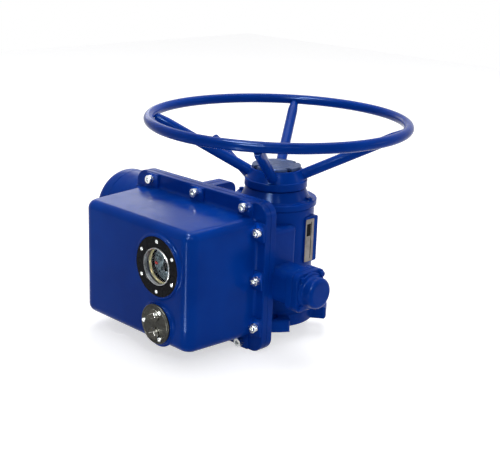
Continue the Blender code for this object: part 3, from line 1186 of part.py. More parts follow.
def make_handwheel(paint, cap_finish):
    add_object("handwheel_rim", rim_mesh(WHEEL_TUBE_RADIUS), paint)
    hub = add_object("handwheel_hub", turned_mesh(hub_profile(0), ROUND), paint)
    thread = hole_radius(CAP_NECK_RADIUS, MEDIUM)
    bore = hole_radius(SLEEVE_RADIUS, MEDIUM)
    recess = HUB_TOP - CAP_NECK_HEIGHT - GAP
    profile = [(0, HUB_BOTTOM - OVERCUT), (bore, HUB_BOTTOM - OVERCUT), (bore, recess), (thread, recess),
               (thread, HUB_TOP + OVERCUT), (0, HUB_TOP + OVERCUT)]
    cut(hub, "bore", turned_mesh(profile, MEDIUM))
    for index in range(SPOKE_COUNT):
        make_spoke(index, paint)
    make_stem_cap(cap_finish)


def make_spoke(index, paint):
    """A tube from inside the hub's cone to the middle of the rim, drawn in at its end, cut to sit on both."""
    angle = SPOKE_START_ANGLE + 2 * math.pi * index / SPOKE_COUNT
    outward = Vector((math.cos(angle), math.sin(angle), 0))
    foot = outward * (HUB_TOP_RADIUS - 2 * ROOT) + Vector((0, 0, HUB_BOTTOM + SPOKE_FOOT_HEIGHT - ROOT))
    tip = outward * WHEEL_RADIUS + Vector((0, 0, WHEEL_HEIGHT - SPOKE_DROP_AT_RIM))
    direction = tip - foot
    profile = [(0, 0), (SPOKE_RADIUS, 0), (SPOKE_RADIUS, direction.length - SPOKE_END_TAPER),
               (SPOKE_END_RADIUS, direction.length), (0, direction.length)]
    builder = turned_mesh(profile, SMALL)
    turn = direction.to_track_quat("Z", "Y").to_matrix().to_4x4()
    bmesh.ops.transform(builder, verts=builder.verts, matrix=Matrix.Translation(foot) @ turn)
    name = "handwheel_spoke_%d" % (index + 1)
    spoke = add_object(name, builder, paint)
    cut(spoke, "rim", rim_mesh(WHEEL_TUBE_RADIUS + GAP))
    cut(spoke, "hub", turned_mesh(hub_profile(GAP), ROUND))


def make_stem_cap(cap_finish):
    bottom = HUB_TOP + GAP
    top = bottom + CAP_THICKNESS
    neck = bottom - CAP_NECK_HEIGHT
    profile = [(0, neck), (CAP_NECK_RADIUS, neck), (CAP_NECK_RADIUS, bottom), (CAP_RADIUS, bottom),
               (CAP_RADIUS, top - CAP_CHAMFER), (CAP_RADIUS - CAP_CHAMFER, top), (0, top)]
    cap = add_object("stem_cap", turned_mesh(profile, ROUND), cap_finish)
    for index in range(CAP_NOTCH_COUNT):
        angle = CAP_NOTCH_START_ANGLE + 2 * math.pi * index / CAP_NOTCH_COUNT
        block = box_mesh((CAP_RADIUS - CAP_NOTCH_DEPTH, -CAP_NOTCH_WIDTH / 2, bottom - ROOT),
                         (CAP_RADIUS + OVERCUT, CAP_NOTCH_WIDTH / 2, top + ROOT))
        cut(cap, "notch_%d" % (index + 1), block, Matrix.Rotation(angle, 4, "Z"))


def make_lever(paint, steel):
    frame = lever_frame()
    eye = disc_mesh(LEVER_EYE_RADIUS, -LEVER_EYE_WIDTH / 2, LEVER_EYE_WIDTH / 2, SMALL)
    lever = add_object("changeover_lever", eye, paint, (frame @ ALONG_MINUS_Y).to_3x3(), frame.translation)
    tilt = frame @ Matrix.Rotation(math.pi / 2 - LEVER_TILT, 4, "Y")
    fillet = LEVER_ROD_RADIUS / 2
    rod = [(0, 0), (LEVER_ROD_RADIUS * 0.8, 0), (LEVER_ROD_RADIUS, LEVER_EYE_RADIUS * 1.5),
           (LEVER_ROD_RADIUS, LEVER_LENGTH - fillet), (LEVER_ROD_RADIUS - fillet, LEVER_LENGTH), (0, LEVER_LENGTH)]
    add(lever, "rod", turned_mesh(rod, SMALL), tilt.to_3x3(), frame.translation)
    hole = disc_mesh(hole_radius(LEVER_PIN_RADIUS, SMALL), -LEVER_EYE_WIDTH, LEVER_EYE_WIDTH, SMALL)
    cut(lever, "pin_hole", hole, (frame @ ALONG_MINUS_Y).to_3x3(), frame.translation)
    half = LEVER_EYE_WIDTH / 2 + GAP + LEVER_EAR_THICKNESS
    pin = disc_mesh(LEVER_PIN_RADIUS, -half, half, SMALL)
    add_object("lever_pin", pin, steel, (frame @ ALONG_MINUS_Y).to_3x3(), frame.translation)


def make_trim(steel, paint):
    low = (NAMEPLATE_PAD_X + GAP, NAMEPLATE_Y - NAMEPLATE_WIDTH / 2, NAMEPLATE_Z - NAMEPLATE_HEIGHT / 2)
    high = (low[0] + NAMEPLATE_THICKNESS, low[1] + NAMEPLATE_WIDTH, low[2] + NAMEPLATE_HEIGHT)
    add_object("nameplate", box_mesh(low, high), steel)
    face = CASE_BOTTOM - ENTRY_BOSS_HEIGHT
    for index, x in enumerate(ENTRY_X):
        head = ENTRY_RADIUS + ENTRY_BOSS_WALL
        outline = arc(0, 0, head, 0, 2 * math.pi, 6)[:-1]
        plug = add_object("cable_entry_plug_%d" % (index + 1),
                          prism_mesh(outline, face - GAP - ENTRY_PLUG_HEAD_HEIGHT, face - GAP), paint,
                          None, (x, ENTRY_Y, 0))
        add(plug, "thread", disc_mesh(ENTRY_RADIUS, face - GAP - ROOT, face + ENTRY_DEPTH - 2 * GAP, FAIR),
            None, (x, ENTRY_Y, 0))


def build():
    clear_scene()
    paint = finish("blue_paint", (0.006, 0.045, 0.34), 0.28, 0.0)
    wheel_paint = finish("wheel_paint", (0.006, 0.045, 0.34), 0.28, 0.0)
    zinc = finish("zinc", (0.62, 0.62, 0.60), 0.32, 1.0)
    steel = finish("steel", (0.35, 0.35, 0.36), 0.35, 1.0)
    stainless = finish("dark_stainless", (0.16, 0.15, 0.15), 0.30, 1.0)
    bronze = finish("bronze", (0.45, 0.27, 0.10), 0.40, 1.0)
    copper = finish("copper", (0.55, 0.25, 0.12), 0.45, 1.0)
    rubber = finish("rubber", (0.02, 0.02, 0.02), 0.70, 0.0)
    black = finish("black_plastic", (0.012, 0.012, 0.013), 0.40, 0.0)
    glass = finish("glass", (0.85, 0.90, 0.90), 0.05, 0.0)
    dial = finish("dial_enamel", (0.55, 0.60, 0.60), 0.45, 0.0)
    pointer_dark = finish("pointer_enamel", (0.02, 0.022, 0.03), 0.40, 0.0)
    pale = finish("terminal_plastic", (0.55, 0.52, 0.42), 0.55, 0.0)
    cap_finish = finish("cap_zinc", (0.30, 0.31, 0.38), 0.38, 0.6)
    make_housing(paint)
    make_top_cover(paint)
    make_top_cover_screws(black)
    make_cover(paint)
    make_gasket(rubber)
    make_cover_screws(zinc)
    unit_front = make_window(black, glass, dial, pointer_dark)
    make_controls(stainless, black)
    make_compartment_inside(unit_front, steel, black, pale)
    make_motor(paint, steel, copper)
    make_worm_shaft(steel, bronze, paint)
    make_output(steel, bronze)
    make_handwheel(wheel_paint, cap_finish)
    make_lever(paint, steel)
    make_trim(stainless, paint)


build()
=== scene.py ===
# %% [markdown]
# # Dressing an electric valve actuator
# The object is a heavy iron drive for a large valve: a motor turns a worm, the worm turns the
# output sleeve in the column, and a handwheel on top does the same by hand. Its solids are
# already made at their real size. This lesson models the fine surface over them, one casting
# or fitting at a time, and gives every piece its finish: thick gloss enamel on the castings,
# bright zinc on the screws, black on the window ring and worn metal on the control plate.

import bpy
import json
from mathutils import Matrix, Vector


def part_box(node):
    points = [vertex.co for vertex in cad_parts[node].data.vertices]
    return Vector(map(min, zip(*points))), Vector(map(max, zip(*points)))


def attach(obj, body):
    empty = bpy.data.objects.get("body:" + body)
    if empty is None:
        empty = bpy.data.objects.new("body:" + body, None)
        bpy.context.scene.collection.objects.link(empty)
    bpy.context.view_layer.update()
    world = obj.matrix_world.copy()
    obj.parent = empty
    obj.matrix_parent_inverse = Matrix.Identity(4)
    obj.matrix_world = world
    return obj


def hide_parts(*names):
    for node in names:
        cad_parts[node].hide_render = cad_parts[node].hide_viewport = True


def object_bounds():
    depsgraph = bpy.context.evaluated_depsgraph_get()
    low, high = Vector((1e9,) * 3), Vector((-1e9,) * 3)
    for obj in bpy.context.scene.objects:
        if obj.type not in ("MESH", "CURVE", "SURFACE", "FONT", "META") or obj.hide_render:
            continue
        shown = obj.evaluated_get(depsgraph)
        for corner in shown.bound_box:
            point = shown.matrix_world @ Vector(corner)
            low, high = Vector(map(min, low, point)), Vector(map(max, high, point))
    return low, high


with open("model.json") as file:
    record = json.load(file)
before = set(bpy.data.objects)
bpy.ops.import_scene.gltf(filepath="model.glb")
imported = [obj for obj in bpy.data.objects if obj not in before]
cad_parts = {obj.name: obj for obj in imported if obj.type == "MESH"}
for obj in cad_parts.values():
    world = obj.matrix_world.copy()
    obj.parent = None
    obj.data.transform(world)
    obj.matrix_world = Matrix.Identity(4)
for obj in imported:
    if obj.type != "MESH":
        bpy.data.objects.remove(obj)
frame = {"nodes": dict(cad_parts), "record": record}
solid_low, solid_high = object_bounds()
print("the solids measure", [round(1000 * side) for side in solid_high - solid_low], "mm")

# %% Modules and directions
import contextlib
import json
import math

import bmesh
import bpy
from mathutils import Matrix, Vector

X, Y, Z = Vector((1, 0, 0)), Vector((0, 1, 0)), Vector((0, 0, 1))
ORIGIN = Vector((0, 0, 0))
FRONT = -Y
print("the compartment's front looks along", list(FRONT))

# %% [markdown]
# ## Helpers for modelling by hand
# Blender's operators act on whatever is selected, so each edit opens one piece in edit mode with
# nothing selected, picks faces or edges by their place or direction, runs the operator and closes
# the piece again. A context manager keeps that order without repeating it.


# %% Open a piece for an edit
def deselect_all():
    if bpy.context.object and bpy.context.object.mode != "OBJECT":
        bpy.ops.object.mode_set(mode="OBJECT")
    bpy.ops.object.select_all(action="DESELECT")


def make_active(piece):
    deselect_all()
    piece.select_set(True)
    bpy.context.view_layer.objects.active = piece


@contextlib.contextmanager
def editing(piece, kind="FACE"):
    make_active(piece)
    bpy.ops.object.mode_set(mode="EDIT")
    bpy.ops.mesh.select_mode(type=kind)
    bpy.ops.mesh.select_all(action="DESELECT")
    yield bmesh.from_edit_mesh(piece.data)
    bpy.ops.object.mode_set(mode="OBJECT")


def pick(parts, test):
    """Select the faces, edges or points that pass the test, and count them."""
    chosen = [part for part in parts if test(part)]
    for part in chosen:
        part.select_set(True)
    return len(chosen)


def runs_along(edge, axis):
    return abs((edge.verts[1].co - edge.verts[0].co).normalized().dot(axis)) > 0.98


def edge_middle(edge):
    return (edge.verts[0].co + edge.verts[1].co) / 2


# %% [markdown]
# ## Starting shapes
# A block stands between two corners, and a drum between two places on its axis. A turned piece
# starts as a filled circle and is drawn up step by step, each step extruding the top face and
# resizing it to the next radius, as a lathe drawing reads from one end to the other.


# %% Blocks, drums and turned pieces
def name_new_piece(name):
    piece = bpy.context.object
    piece.name = piece.data.name = name
    bpy.ops.object.transform_apply(location=True, rotation=True, scale=True)
    return piece


def block(name, low, high):
    low, high = Vector(low), Vector(high)
    deselect_all()
    bpy.ops.mesh.primitive_cube_add(size=1, location=(low + high) / 2)
    bpy.context.object.scale = high - low
    return name_new_piece(name)


def turn_to(axis):
    return Z.rotation_difference(axis).to_matrix().to_4x4()


def turned(name, profile, segments=64, axis=Z, place=ORIGIN):
    """A solid of revolution: profile holds (radius, height) from one end to the other."""
    deselect_all()
    radius, height = profile[0]
    bpy.ops.mesh.primitive_circle_add(vertices=segments, radius=radius, fill_type="NGON",
                                      location=(0, 0, height))
    piece = name_new_piece(name)
    with editing(piece):
        bpy.ops.mesh.select_all(action="SELECT")
        for next_radius, next_height in profile[1:]:
            bpy.ops.mesh.extrude_region_move(
                TRANSFORM_OT_translate={"value": (0, 0, next_height - height)})
            factor = next_radius / radius
            bpy.ops.transform.resize(value=(factor, factor, 1), center_override=(0, 0, next_height))
            radius, height = next_radius, next_height
        bpy.ops.mesh.select_all(action="SELECT")
        bpy.ops.mesh.normals_make_consistent(inside=False)
    piece.data.transform(turn_to(axis))
    piece.data.transform(Matrix.Translation(place))
    return piece


def drum(name, radius, start, end, segments=64, axis=Z, place=ORIGIN, chamfer=0.0):
    """A plain cylinder between two heights on its axis, with its end edges broken."""
    profile = [(radius, start), (radius, end)]
    if chamfer:
        profile = [(radius - chamfer, start), (radius, start + chamfer),
                   (radius, end - chamfer), (radius - chamfer, end)]
    return turned(name, profile, segments, axis, place)


def curve_steps(radius, height, fillet, start, end, steps=4):
    """Profile points along an arc about (radius, height), angles in degrees."""
    turns = [math.radians(start + (end - start) * step / steps) for step in range(steps + 1)]
    return [(radius + fillet * math.cos(turn), height + fillet * math.sin(turn)) for turn in turns]


def hollow_steps(radius, height, flare, rise, steps):
    """Profile points of a foot that draws in from a flare and ends upright on the radius."""
    turns = [math.pi / 2 * step / steps for step in range(steps + 1)]
    return [(radius + flare * (1 - math.sin(turn)), height + rise * (1 - math.cos(turn)))
            for turn in turns]


# %% [markdown]
# ## Joining, cutting and rounding
# A casting is one metal, so its blocks are united with the exact Boolean, and its bores are cut
# the same way. Edges are rounded either by a picked bevel, where a size matters, or by the Bevel
# modifier's angle limit, which breaks every sharp edge that is left.


# %% Joining, cutting and rounding
def apply_all_modifiers(piece):
    make_active(piece)
    for modifier in list(piece.modifiers):
        bpy.ops.object.modifier_apply(modifier=modifier.name)


def combine(piece, others, operation):
    for other in others:
        modifier = piece.modifiers.new("combine", "BOOLEAN")
        modifier.operation = operation
        modifier.object = other
        apply_all_modifiers(piece)
        bpy.data.objects.remove(other)
    return piece


def unite(piece, *others):
    return combine(piece, others, "UNION")


def cut(piece, *others):
    return combine(piece, others, "DIFFERENCE")


def bevel_edges(piece, radius, segments, test):
    with editing(piece, "EDGE") as mesh:
        if pick(mesh.edges, test):
            bpy.ops.mesh.bevel(offset=radius, segments=segments, affect="EDGES")


def break_edges(piece, width, angle=40, segments=2):
    modifier = piece.modifiers.new("edge break", "BEVEL")
    modifier.limit_method = "ANGLE"
    modifier.angle_limit = math.radians(angle)
    modifier.width = width
    modifier.segments = segments
    apply_all_modifiers(piece)


def clean_up(piece):
    """Merge doubled points and join flat faces that a Boolean has split."""
    with editing(piece, "VERT"):
        bpy.ops.mesh.select_all(action="SELECT")
        bpy.ops.mesh.remove_doubles(threshold=0.00001)
        bpy.ops.mesh.dissolve_limited(angle_limit=math.radians(0.3))


def copy_of(piece, name, matrix):
    twin = piece.copy()
    twin.data = piece.data.copy()
    twin.name = twin.data.name = name
    twin.data.transform(matrix)
    bpy.context.collection.objects.link(twin)
    return twin


def join_pieces(pieces, name):
    make_active(pieces[0])
    for piece in pieces:
        piece.select_set(True)
    bpy.ops.object.join()
    joined = bpy.context.object
    joined.name = joined.data.name = name
    return joined


# %% [markdown]
# ## The camera
# The photograph looks down at the control compartment's corner from the right. Its lens and its
# place were worked out once from known sizes on the object, and the axes keep its slight roll.

# %% Camera
CAMERA_PLACE = Vector((0.9905, -1.0835, 0.585))
CAMERA_RIGHT = Vector((0.7134, 0.700, 0.0341)).normalized()
CAMERA_UP = Vector((-0.2269, 0.1847, 0.9564)).normalized()
CAMERA_LENS = 72.27
CAMERA_SENSOR = 36.0


def add_camera():
    data = bpy.data.cameras.new("photo camera")
    data.lens = CAMERA_LENS
    data.sensor_width = CAMERA_SENSOR
    camera = bpy.data.objects.new("photo camera", data)
    bpy.context.collection.objects.link(camera)
    axes = Matrix((CAMERA_RIGHT, CAMERA_UP, CAMERA_RIGHT.cross(CAMERA_UP))).transposed()
    camera.matrix_world = Matrix.Translation(CAMERA_PLACE) @ axes.to_4x4()
    bpy.context.scene.camera = camera


add_camera()
print("camera", [round(value, 3) for value in CAMERA_PLACE])

# %% [markdown]
# ## Shader sums as plain expressions
# A finish is easier to read as a formula than as a drawing of nodes. This small class holds one
# output of a node, and its operators add the Math nodes. Every other node comes from one method,
# which sets the node's settings first and then the values or links of its sockets.


# %% Shader expressions
class Link:
    def __init__(self, finish, socket):
        self.finish = finish
        self.socket = socket

    def __add__(self, other):
        return self.finish.sum_of("ADD", self, other)

    def __mul__(self, other):
        return self.finish.sum_of("MULTIPLY", self, other)


class Finish:
    """The nodes of a material, or of the world when one is given."""
    def __init__(self, name, world=None):
        self.owner = world or bpy.data.materials.new(name)
        self.owner.use_nodes = True
        self.tree = self.owner.node_tree
        self.tree.nodes.clear()

    def node(self, kind, inputs=None, output=0, **settings):
        made = self.tree.nodes.new("ShaderNode" + kind)
        for key, value in settings.items():
            setattr(made, key, value)
        for key, value in (inputs or {}).items():
            if isinstance(value, Link):
                self.tree.links.new(value.socket, made.inputs[key])
            else:
                made.inputs[key].default_value = value
        return Link(self, made.outputs[output]) if made.outputs else None

    def sum_of(self, operation, *values):
        return self.node("Math", dict(enumerate(values)), operation=operation)

    def place(self, turn=(0, 0, 0), middle=(0, 0, 0)):
        """Object coordinates, moved to a middle and turned."""
        where = self.node("TexCoord", output="Object")
        return self.node("Mapping", {"Vector": where, "Location": middle, "Rotation": turn},
                         vector_type="TEXTURE")

    def noise(self, where, scale, detail, roughness):
        return self.node("TexNoise", {"Vector": where, "Scale": scale, "Detail": detail,
                                      "Roughness": roughness})

    def between(self, factor, low, high, to_low=0.0, to_high=1.0):
        return self.node("MapRange", {"Value": factor, "From Min": low, "From Max": high,
                                      "To Min": to_low, "To Max": to_high})

    def patches(self, where, scale, detail, roughness, low=0.35, high=0.70):
        return self.between(self.noise(where, scale, detail, roughness), low, high)

    def mix(self, factor, first, second):
        return self.node("Mix", {"Factor": factor, 6: first, 7: second}, 2, data_type="RGBA")

    def bump(self, height, strength, distance, below=None):
        inputs = {"Height": height, "Strength": strength, "Distance": distance}
        if below:
            inputs["Normal"] = below
        return self.node("Bump", inputs)

    def part_of(self, vector, axis):
        return self.node("SeparateXYZ", {0: vector}, axis)

    def facing(self, axis):
        return self.part_of(self.node("NewGeometry", output="Normal"), axis)

    def seen_directly(self):
        """One for rays of the camera, of a gloss and through glass, and zero for all others."""
        rays = [self.node("LightPath", output=f"Is {kind} Ray")
                for kind in ("Camera", "Glossy", "Transmission")]
        return self.sum_of("MAXIMUM", self.sum_of("MAXIMUM", rays[0], rays[1]), rays[2])

    def surface(self, **values):
        """The Principled shader; a name's underscores stand for its spaces."""
        inputs = {key.replace("_", " "): value for key, value in values.items()}
        self.node("OutputMaterial", {"Surface": self.node("BsdfPrincipled", inputs)})
        return self.owner

    def mottled(self, patch, light, dark, roughness, spread, **values):
        """Two tones in patches, of which the second is duller by the spread."""
        return self.surface(Base_Color=self.mix(patch, light, dark),
                            Roughness=self.between(patch, 0, 1, roughness, roughness + spread),
                            **values)


# %% [markdown]
# ## Gloss enamel on iron
# The actuator is brushed and sprayed with a thick ultramarine enamel. Over machined or pressed
# parts the film is smooth and shows only a faint orange peel. Over rough iron the casting skin
# shows through as slow waves with small pits. Dust settles where the surface faces up, and the
# film pools a little darker in places, so the colour is a mix of two blues and a dusty one.

# %% Enamel finishes
BLUE_DEEP = (0.0003, 0.0280, 0.235, 1)
BLUE_CLEAR = (0.0006, 0.0410, 0.310, 1)
BLUE_DUST = (0.0180, 0.0700, 0.280, 1)
BLUE_SHINE = (0.40, 0.62, 1, 1)


def enamel(name, skin, peel, dust, roughness):
    finish = Finish(name)
    where = finish.place()
    pooled = finish.patches(where, 9.0, 3.0, 0.55, 0.35, 0.68)
    flow = finish.noise(where, 34.0, 2.0, 0.5)
    upward = finish.between(finish.facing("Z"), 0.55, 0.98)
    grime = finish.patches(where, 60.0, 5.0, 0.7, 0.46, 0.74) * upward
    colour = finish.mix(grime * dust, finish.mix(pooled, BLUE_DEEP, BLUE_CLEAR), BLUE_DUST)
    gloss = finish.between(flow, 0.3, 0.7, roughness, roughness + 0.07) + grime * 0.10
    waves = finish.noise(where, 55.0, 3.0, 0.6)
    pits = finish.noise(where, 420.0, 3.0, 0.62)
    fine = finish.noise(where, 900.0, 1.0, 0.5)
    normal = finish.bump(waves, skin, 0.0030)
    normal = finish.bump(pits, skin * 0.6, 0.0006, normal)
    normal = finish.bump(fine, peel, 0.0002, normal)
    return finish.surface(Base_Color=colour, Roughness=gloss, Normal=normal, IOR=1.5,
                          Specular_IOR_Level=0.05, Specular_Tint=BLUE_SHINE)


cast_enamel = enamel("cast enamel", 0.16, 0.10, 0.55, 0.17)
smooth_enamel = enamel("smooth enamel", 0.035, 0.08, 0.45, 0.13)
wheel_enamel = enamel("wheel enamel", 0.06, 0.10, 0.30, 0.15)
print("three enamels made")

# %% [markdown]
# ## Metals
# Bright zinc is a thin plating over steel: pale, slightly blue, with duller blotches. The control
# plate is darker, tarnished brown metal. The knobs are bright metal with painted shade on their
# front faces. Turned metal keeps fine rings about its axis, which come from the distance to the
# axis and not from a plain noise.


# %% Metal finishes
PLATE_MIDDLE = (-0.0165, 0, 0.033)
FRONT_TURN = (math.radians(90), 0, 0)


def plated(name, light, dark, roughness, scale=260.0):
    finish = Finish(name)
    where = finish.place()
    fine = finish.noise(where, scale * 6, 2.0, 0.5)
    return finish.mottled(finish.patches(where, scale, 4.0, 0.65), light, dark, roughness, 0.16,
                          Metallic=1.0, Normal=finish.bump(fine, 0.12, 0.0002))


def turned_metal(name, light, dark, roughness, middle=ORIGIN, turn=ORIGIN, metallic=1.0,
                 rings=5200.0, level=0.5):
    """Metal with lathe rings about an axis through its middle."""
    finish = Finish(name)
    where = finish.place(turn, middle)
    apart, other = finish.part_of(where, "X"), finish.part_of(where, "Y")
    distance = finish.sum_of("SQRT", apart * apart + other * other)
    groove = finish.sum_of("SINE", distance * rings)
    return finish.mottled(finish.patches(where, 180.0, 5.0, 0.7), light, dark, roughness, 0.18,
                          Metallic=metallic, Specular_IOR_Level=level,
                          Normal=finish.bump(groove, 0.10, 0.0001))


def metal_with_painted_front_shade(name, bright, dull):
    """Bright metal whose faces towards the front are painted dark as shade."""
    finish = Finish(name)
    worn = finish.noise(finish.place(), 240.0, 4.0, 0.6)
    # Faces towards the front are painted dark, a painted shade; the sides keep the bright metal
    # colour.
    painted_front_shade = finish.between(finish.facing("Y") + worn * 0.3, -0.72, -0.50, 1.0, 0.0)
    return finish.surface(Base_Color=finish.mix(painted_front_shade, bright, dull),
                          Roughness=finish.between(worn, 0.3, 0.7, 0.20, 0.34), Metallic=1.0,
                          Normal=finish.bump(worn, 0.10, 0.0002))


bright_zinc = plated("bright zinc", (0.78, 0.80, 0.80, 1), (0.50, 0.53, 0.52, 1), 0.16)
METALS = {
    "zinc_screws": bright_zinc,
    "steel": plated("ground steel", (0.55, 0.56, 0.58, 1), (0.36, 0.37, 0.39, 1), 0.24),
    "bronze": plated("bearing bronze", (0.62, 0.38, 0.14, 1), (0.42, 0.24, 0.09, 1), 0.26),
    "windings": plated("copper wire", (0.70, 0.28, 0.12, 1), (0.45, 0.16, 0.07, 1), 0.30),
    "nameplate": plated("bare nameplate", (0.22, 0.20, 0.19, 1), (0.14, 0.13, 0.12, 1), 0.34, 90.0),
    "dark_stainless": turned_metal("tarnished plate", (0.042, 0.043, 0.038, 1),
                                   (0.020, 0.019, 0.016, 1), 0.30, PLATE_MIDDLE, FRONT_TURN),
    "cap_metal": turned_metal("cap metal", (0.036, 0.064, 0.160, 1), (0.022, 0.042, 0.110, 1),
                              0.32, metallic=0.35, rings=3200.0, level=0.15)}
# The knobs' front faces carry painted shade.
knob_metal_painted_shade = metal_with_painted_front_shade("knob metal with painted shade", (0.62, 0.62, 0.59, 1), (0.050, 0.048, 0.040, 1))
print("metal finishes:", *METALS)

# %% [markdown]
# ## Paints, plastics and the rest
# The window ring is black enamel and the stem cap a dull blue-grey metal. Plastics and rubber are
# matt and fine grained, the dial is a pale bluish enamel, and the glass is thin enough to show it
# without a haze. A table then gives every slot of the solids its finish.


# %% Paints and plastics
def painted(name, light, dark, roughness, scale=120.0, level=0.5):
    finish = Finish(name)
    where = finish.place()
    fine = finish.noise(where, scale * 9, 2.0, 0.5)
    return finish.mottled(finish.patches(where, scale, 4.0, 0.6), light, dark, roughness, 0.10,
                          Specular_IOR_Level=level, Normal=finish.bump(fine, 0.08, 0.0002))


def clear_glass():
    finish = Finish("window glass")
    smear = finish.patches(finish.place(), 70.0, 4.0, 0.6, 0.45, 0.75)
    return finish.mottled(smear, (0.93, 0.97, 0.96, 1), (0.86, 0.91, 0.91, 1), 0.002, 0.010,
                          Transmission_Weight=1.0, IOR=1.12)


black_enamel = painted("black enamel", (0.0020, 0.0024, 0.0040, 1), (0.0050, 0.0056, 0.0080, 1),
                       0.22, level=0.04)
mark_paint = painted("dark mark paint", (0.006, 0.007, 0.010, 1), (0.012, 0.013, 0.017, 1), 0.50,
                     level=0.04)
mark_red = painted("red mark paint", (0.55, 0.030, 0.022, 1), (0.42, 0.022, 0.018, 1), 0.35)
seal_yellow = painted("sealing ring", (0.42, 0.36, 0.20, 1), (0.32, 0.27, 0.15, 1), 0.45)
SLOT_FINISHES = {
    **METALS, "body_paint": cast_enamel, "wheel_paint": wheel_enamel,
    "black_screws": black_enamel, "black_ring": black_enamel, "pointer_enamel": mark_paint,
    "window_glass": clear_glass(),
    "dial_enamel": painted("dial enamel", (0.085, 0.110, 0.130, 1), (0.062, 0.084, 0.103, 1),
                           0.35, 60.0, level=0.2),
    "rubber": painted("gasket rubber", (0.014, 0.014, 0.015, 1), (0.026, 0.025, 0.025, 1), 0.70),
    "black_plastic": painted("black plastic", (0.012, 0.012, 0.013, 1),
                             (0.020, 0.020, 0.021, 1), 0.42),
    "pale_plastic": painted("pale plastic", (0.56, 0.53, 0.44, 1), (0.47, 0.44, 0.36, 1), 0.48)}
print("finishes for", len(SLOT_FINISHES), "slots made")


# %% [markdown]
# ## Handing a piece over
# A finished piece is shaded smooth up to a real edge, and its large flat faces keep their own
# direction. It gets its slot's finish, or one of its own, and rides on its body, and the solids
# that it stands for are hidden.


# %% Finish a piece
def settle(piece, slot, *nodes, body="body", finish=None, smooth_angle=32, weighted=True):
    piece.name = piece.data.name = piece.name.replace(" ", "_")
    make_active(piece)
    bpy.ops.object.shade_smooth_by_angle(angle=math.radians(smooth_angle))
    if weighted:
        modifier = piece.modifiers.new("flat faces first", "WEIGHTED_NORMAL")
        modifier.keep_sharp = True
        apply_all_modifiers(piece)
    piece.data.materials.clear()
    piece.data.materials.append(finish or SLOT_FINISHES[slot])
    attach(piece, body)
    if nodes:
        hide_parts(*nodes)
    print(f"{piece.name}: {len(piece.data.polygons)} faces on {body}")


# %% [markdown]
# ## Measures
# These are the sizes that more than one piece needs, in metres. The compartment's front faces the
# viewer along minus Y, the column stands on the Z axis, and the worm and motor lie along X.

# %% Measures
FLANGE_FACE = -0.0925
FLANGE_BACK = -0.0840
BOX_FACE = -0.216
BOX_BACK = -0.0865
BOX_MIDDLE = Vector((-0.0725, 0, 0.0895))
FLANGE_LOW, FLANGE_HIGH = Vector((-0.2145, 0, -0.024)), Vector((0.0695, 0, 0.203))
FLANGE_CORNER = 0.020
WINDOW = Vector((-0.0165, 0, 0.1185))
CONTROLS = Vector(PLATE_MIDDLE)
WORM = Vector((0, -0.048, 0.080))
MOTOR = Vector((0, 0.00243, 0.0946))
COLUMN_RADIUS, COLUMN_TOP = 0.060, 0.178
SCREWS_ACROSS, SCREWS_UP = (-0.1755, -0.0725, 0.0305), (0.017, 0.0895, 0.162)
TOP_ROW = [(x, 0.193) for x in SCREWS_ACROSS]
BOTTOM_ROW = [(x, -0.014) for x in SCREWS_ACROSS]
LEFT_COLUMN = [(-0.2045, z) for z in SCREWS_UP]
RIGHT_COLUMN = [(0.0595, z) for z in SCREWS_UP]
COVER_SCREWS = TOP_ROW + BOTTOM_ROW + LEFT_COLUMN + RIGHT_COLUMN
print("places for", len(COVER_SCREWS), "cover screws")

# %% [markdown]
# ## Plates that rise in steps
# A drafted casting is a rounded plate whose face is inset and pushed out again and again, so that
# a foot swells out of the face below it as a quarter circle of small steps. Several pieces share
# the compartment's outline and its twelve screw holes.


# %% Rounded plates and raised faces
def plate(name, low, high, corner, axis=Y, segments=10):
    piece = block(name, low, high)
    bevel_edges(piece, corner, segments, lambda edge: runs_along(edge, axis))
    return piece


def flange_plate(name, front, back, inset=0.0):
    return plate(name, (FLANGE_LOW.x + inset, front, FLANGE_LOW.z + inset),
                 (FLANGE_HIGH.x - inset, back, FLANGE_HIGH.z - inset), FLANGE_CORNER)


def round_rim(piece, depth, radius):
    """Round the edges that lie in a plate's face at a depth."""
    bevel_edges(piece, radius, 3, lambda edge: abs(edge_middle(edge).y - depth) < 1e-5
                and abs(edge.verts[0].co.y - edge.verts[1].co.y) < 1e-6)


def raise_foot(piece, direction, radius, steps):
    """Raise the farthest face in a direction, along a hollow quarter circle."""
    points = hollow_steps(0, 0, radius, radius, steps)
    with editing(piece) as mesh:
        far = max(face.calc_center_median().dot(direction) for face in mesh.faces)
        pick(mesh.faces, lambda face: face.normal.dot(direction) > 0.99
             and face.calc_center_median().dot(direction) > far - 1e-5)
        for (wide, low), (narrow, high) in zip(points, points[1:]):
            bpy.ops.mesh.inset(thickness=wide - narrow, depth=high - low)
    return piece


def front_drum(name, radius, start, end, segments, place, chamfer=0.0):
    return drum(name, radius, start, end, segments, FRONT, place, chamfer)


def screw_holes(start, end):
    return [front_drum(f"screw hole {number}", 0.0045, start, end, 24, Vector((x, 0, z)))
            for number, (x, z) in enumerate(COVER_SCREWS)]


# %% [markdown]
# ## The control compartment's cover
# A flat flange carries a deep drafted box with soft corners. Each of the twelve screws stands on a
# raised pad that runs into the wall, the window and the controls sit on round bosses, and the box
# is hollow with a wall of 6 mm.

# %% Cover
WALL = 0.006
SKIRT = 0.004


def box_sides(depth, grow=0.0):
    """Half the box's width and height at a depth: its walls lean in towards the front."""
    share = (BOX_BACK - depth) / (BOX_BACK - BOX_FACE)
    return 0.1245 + grow - 0.007 * share, 0.091 + grow - 0.0025 * share


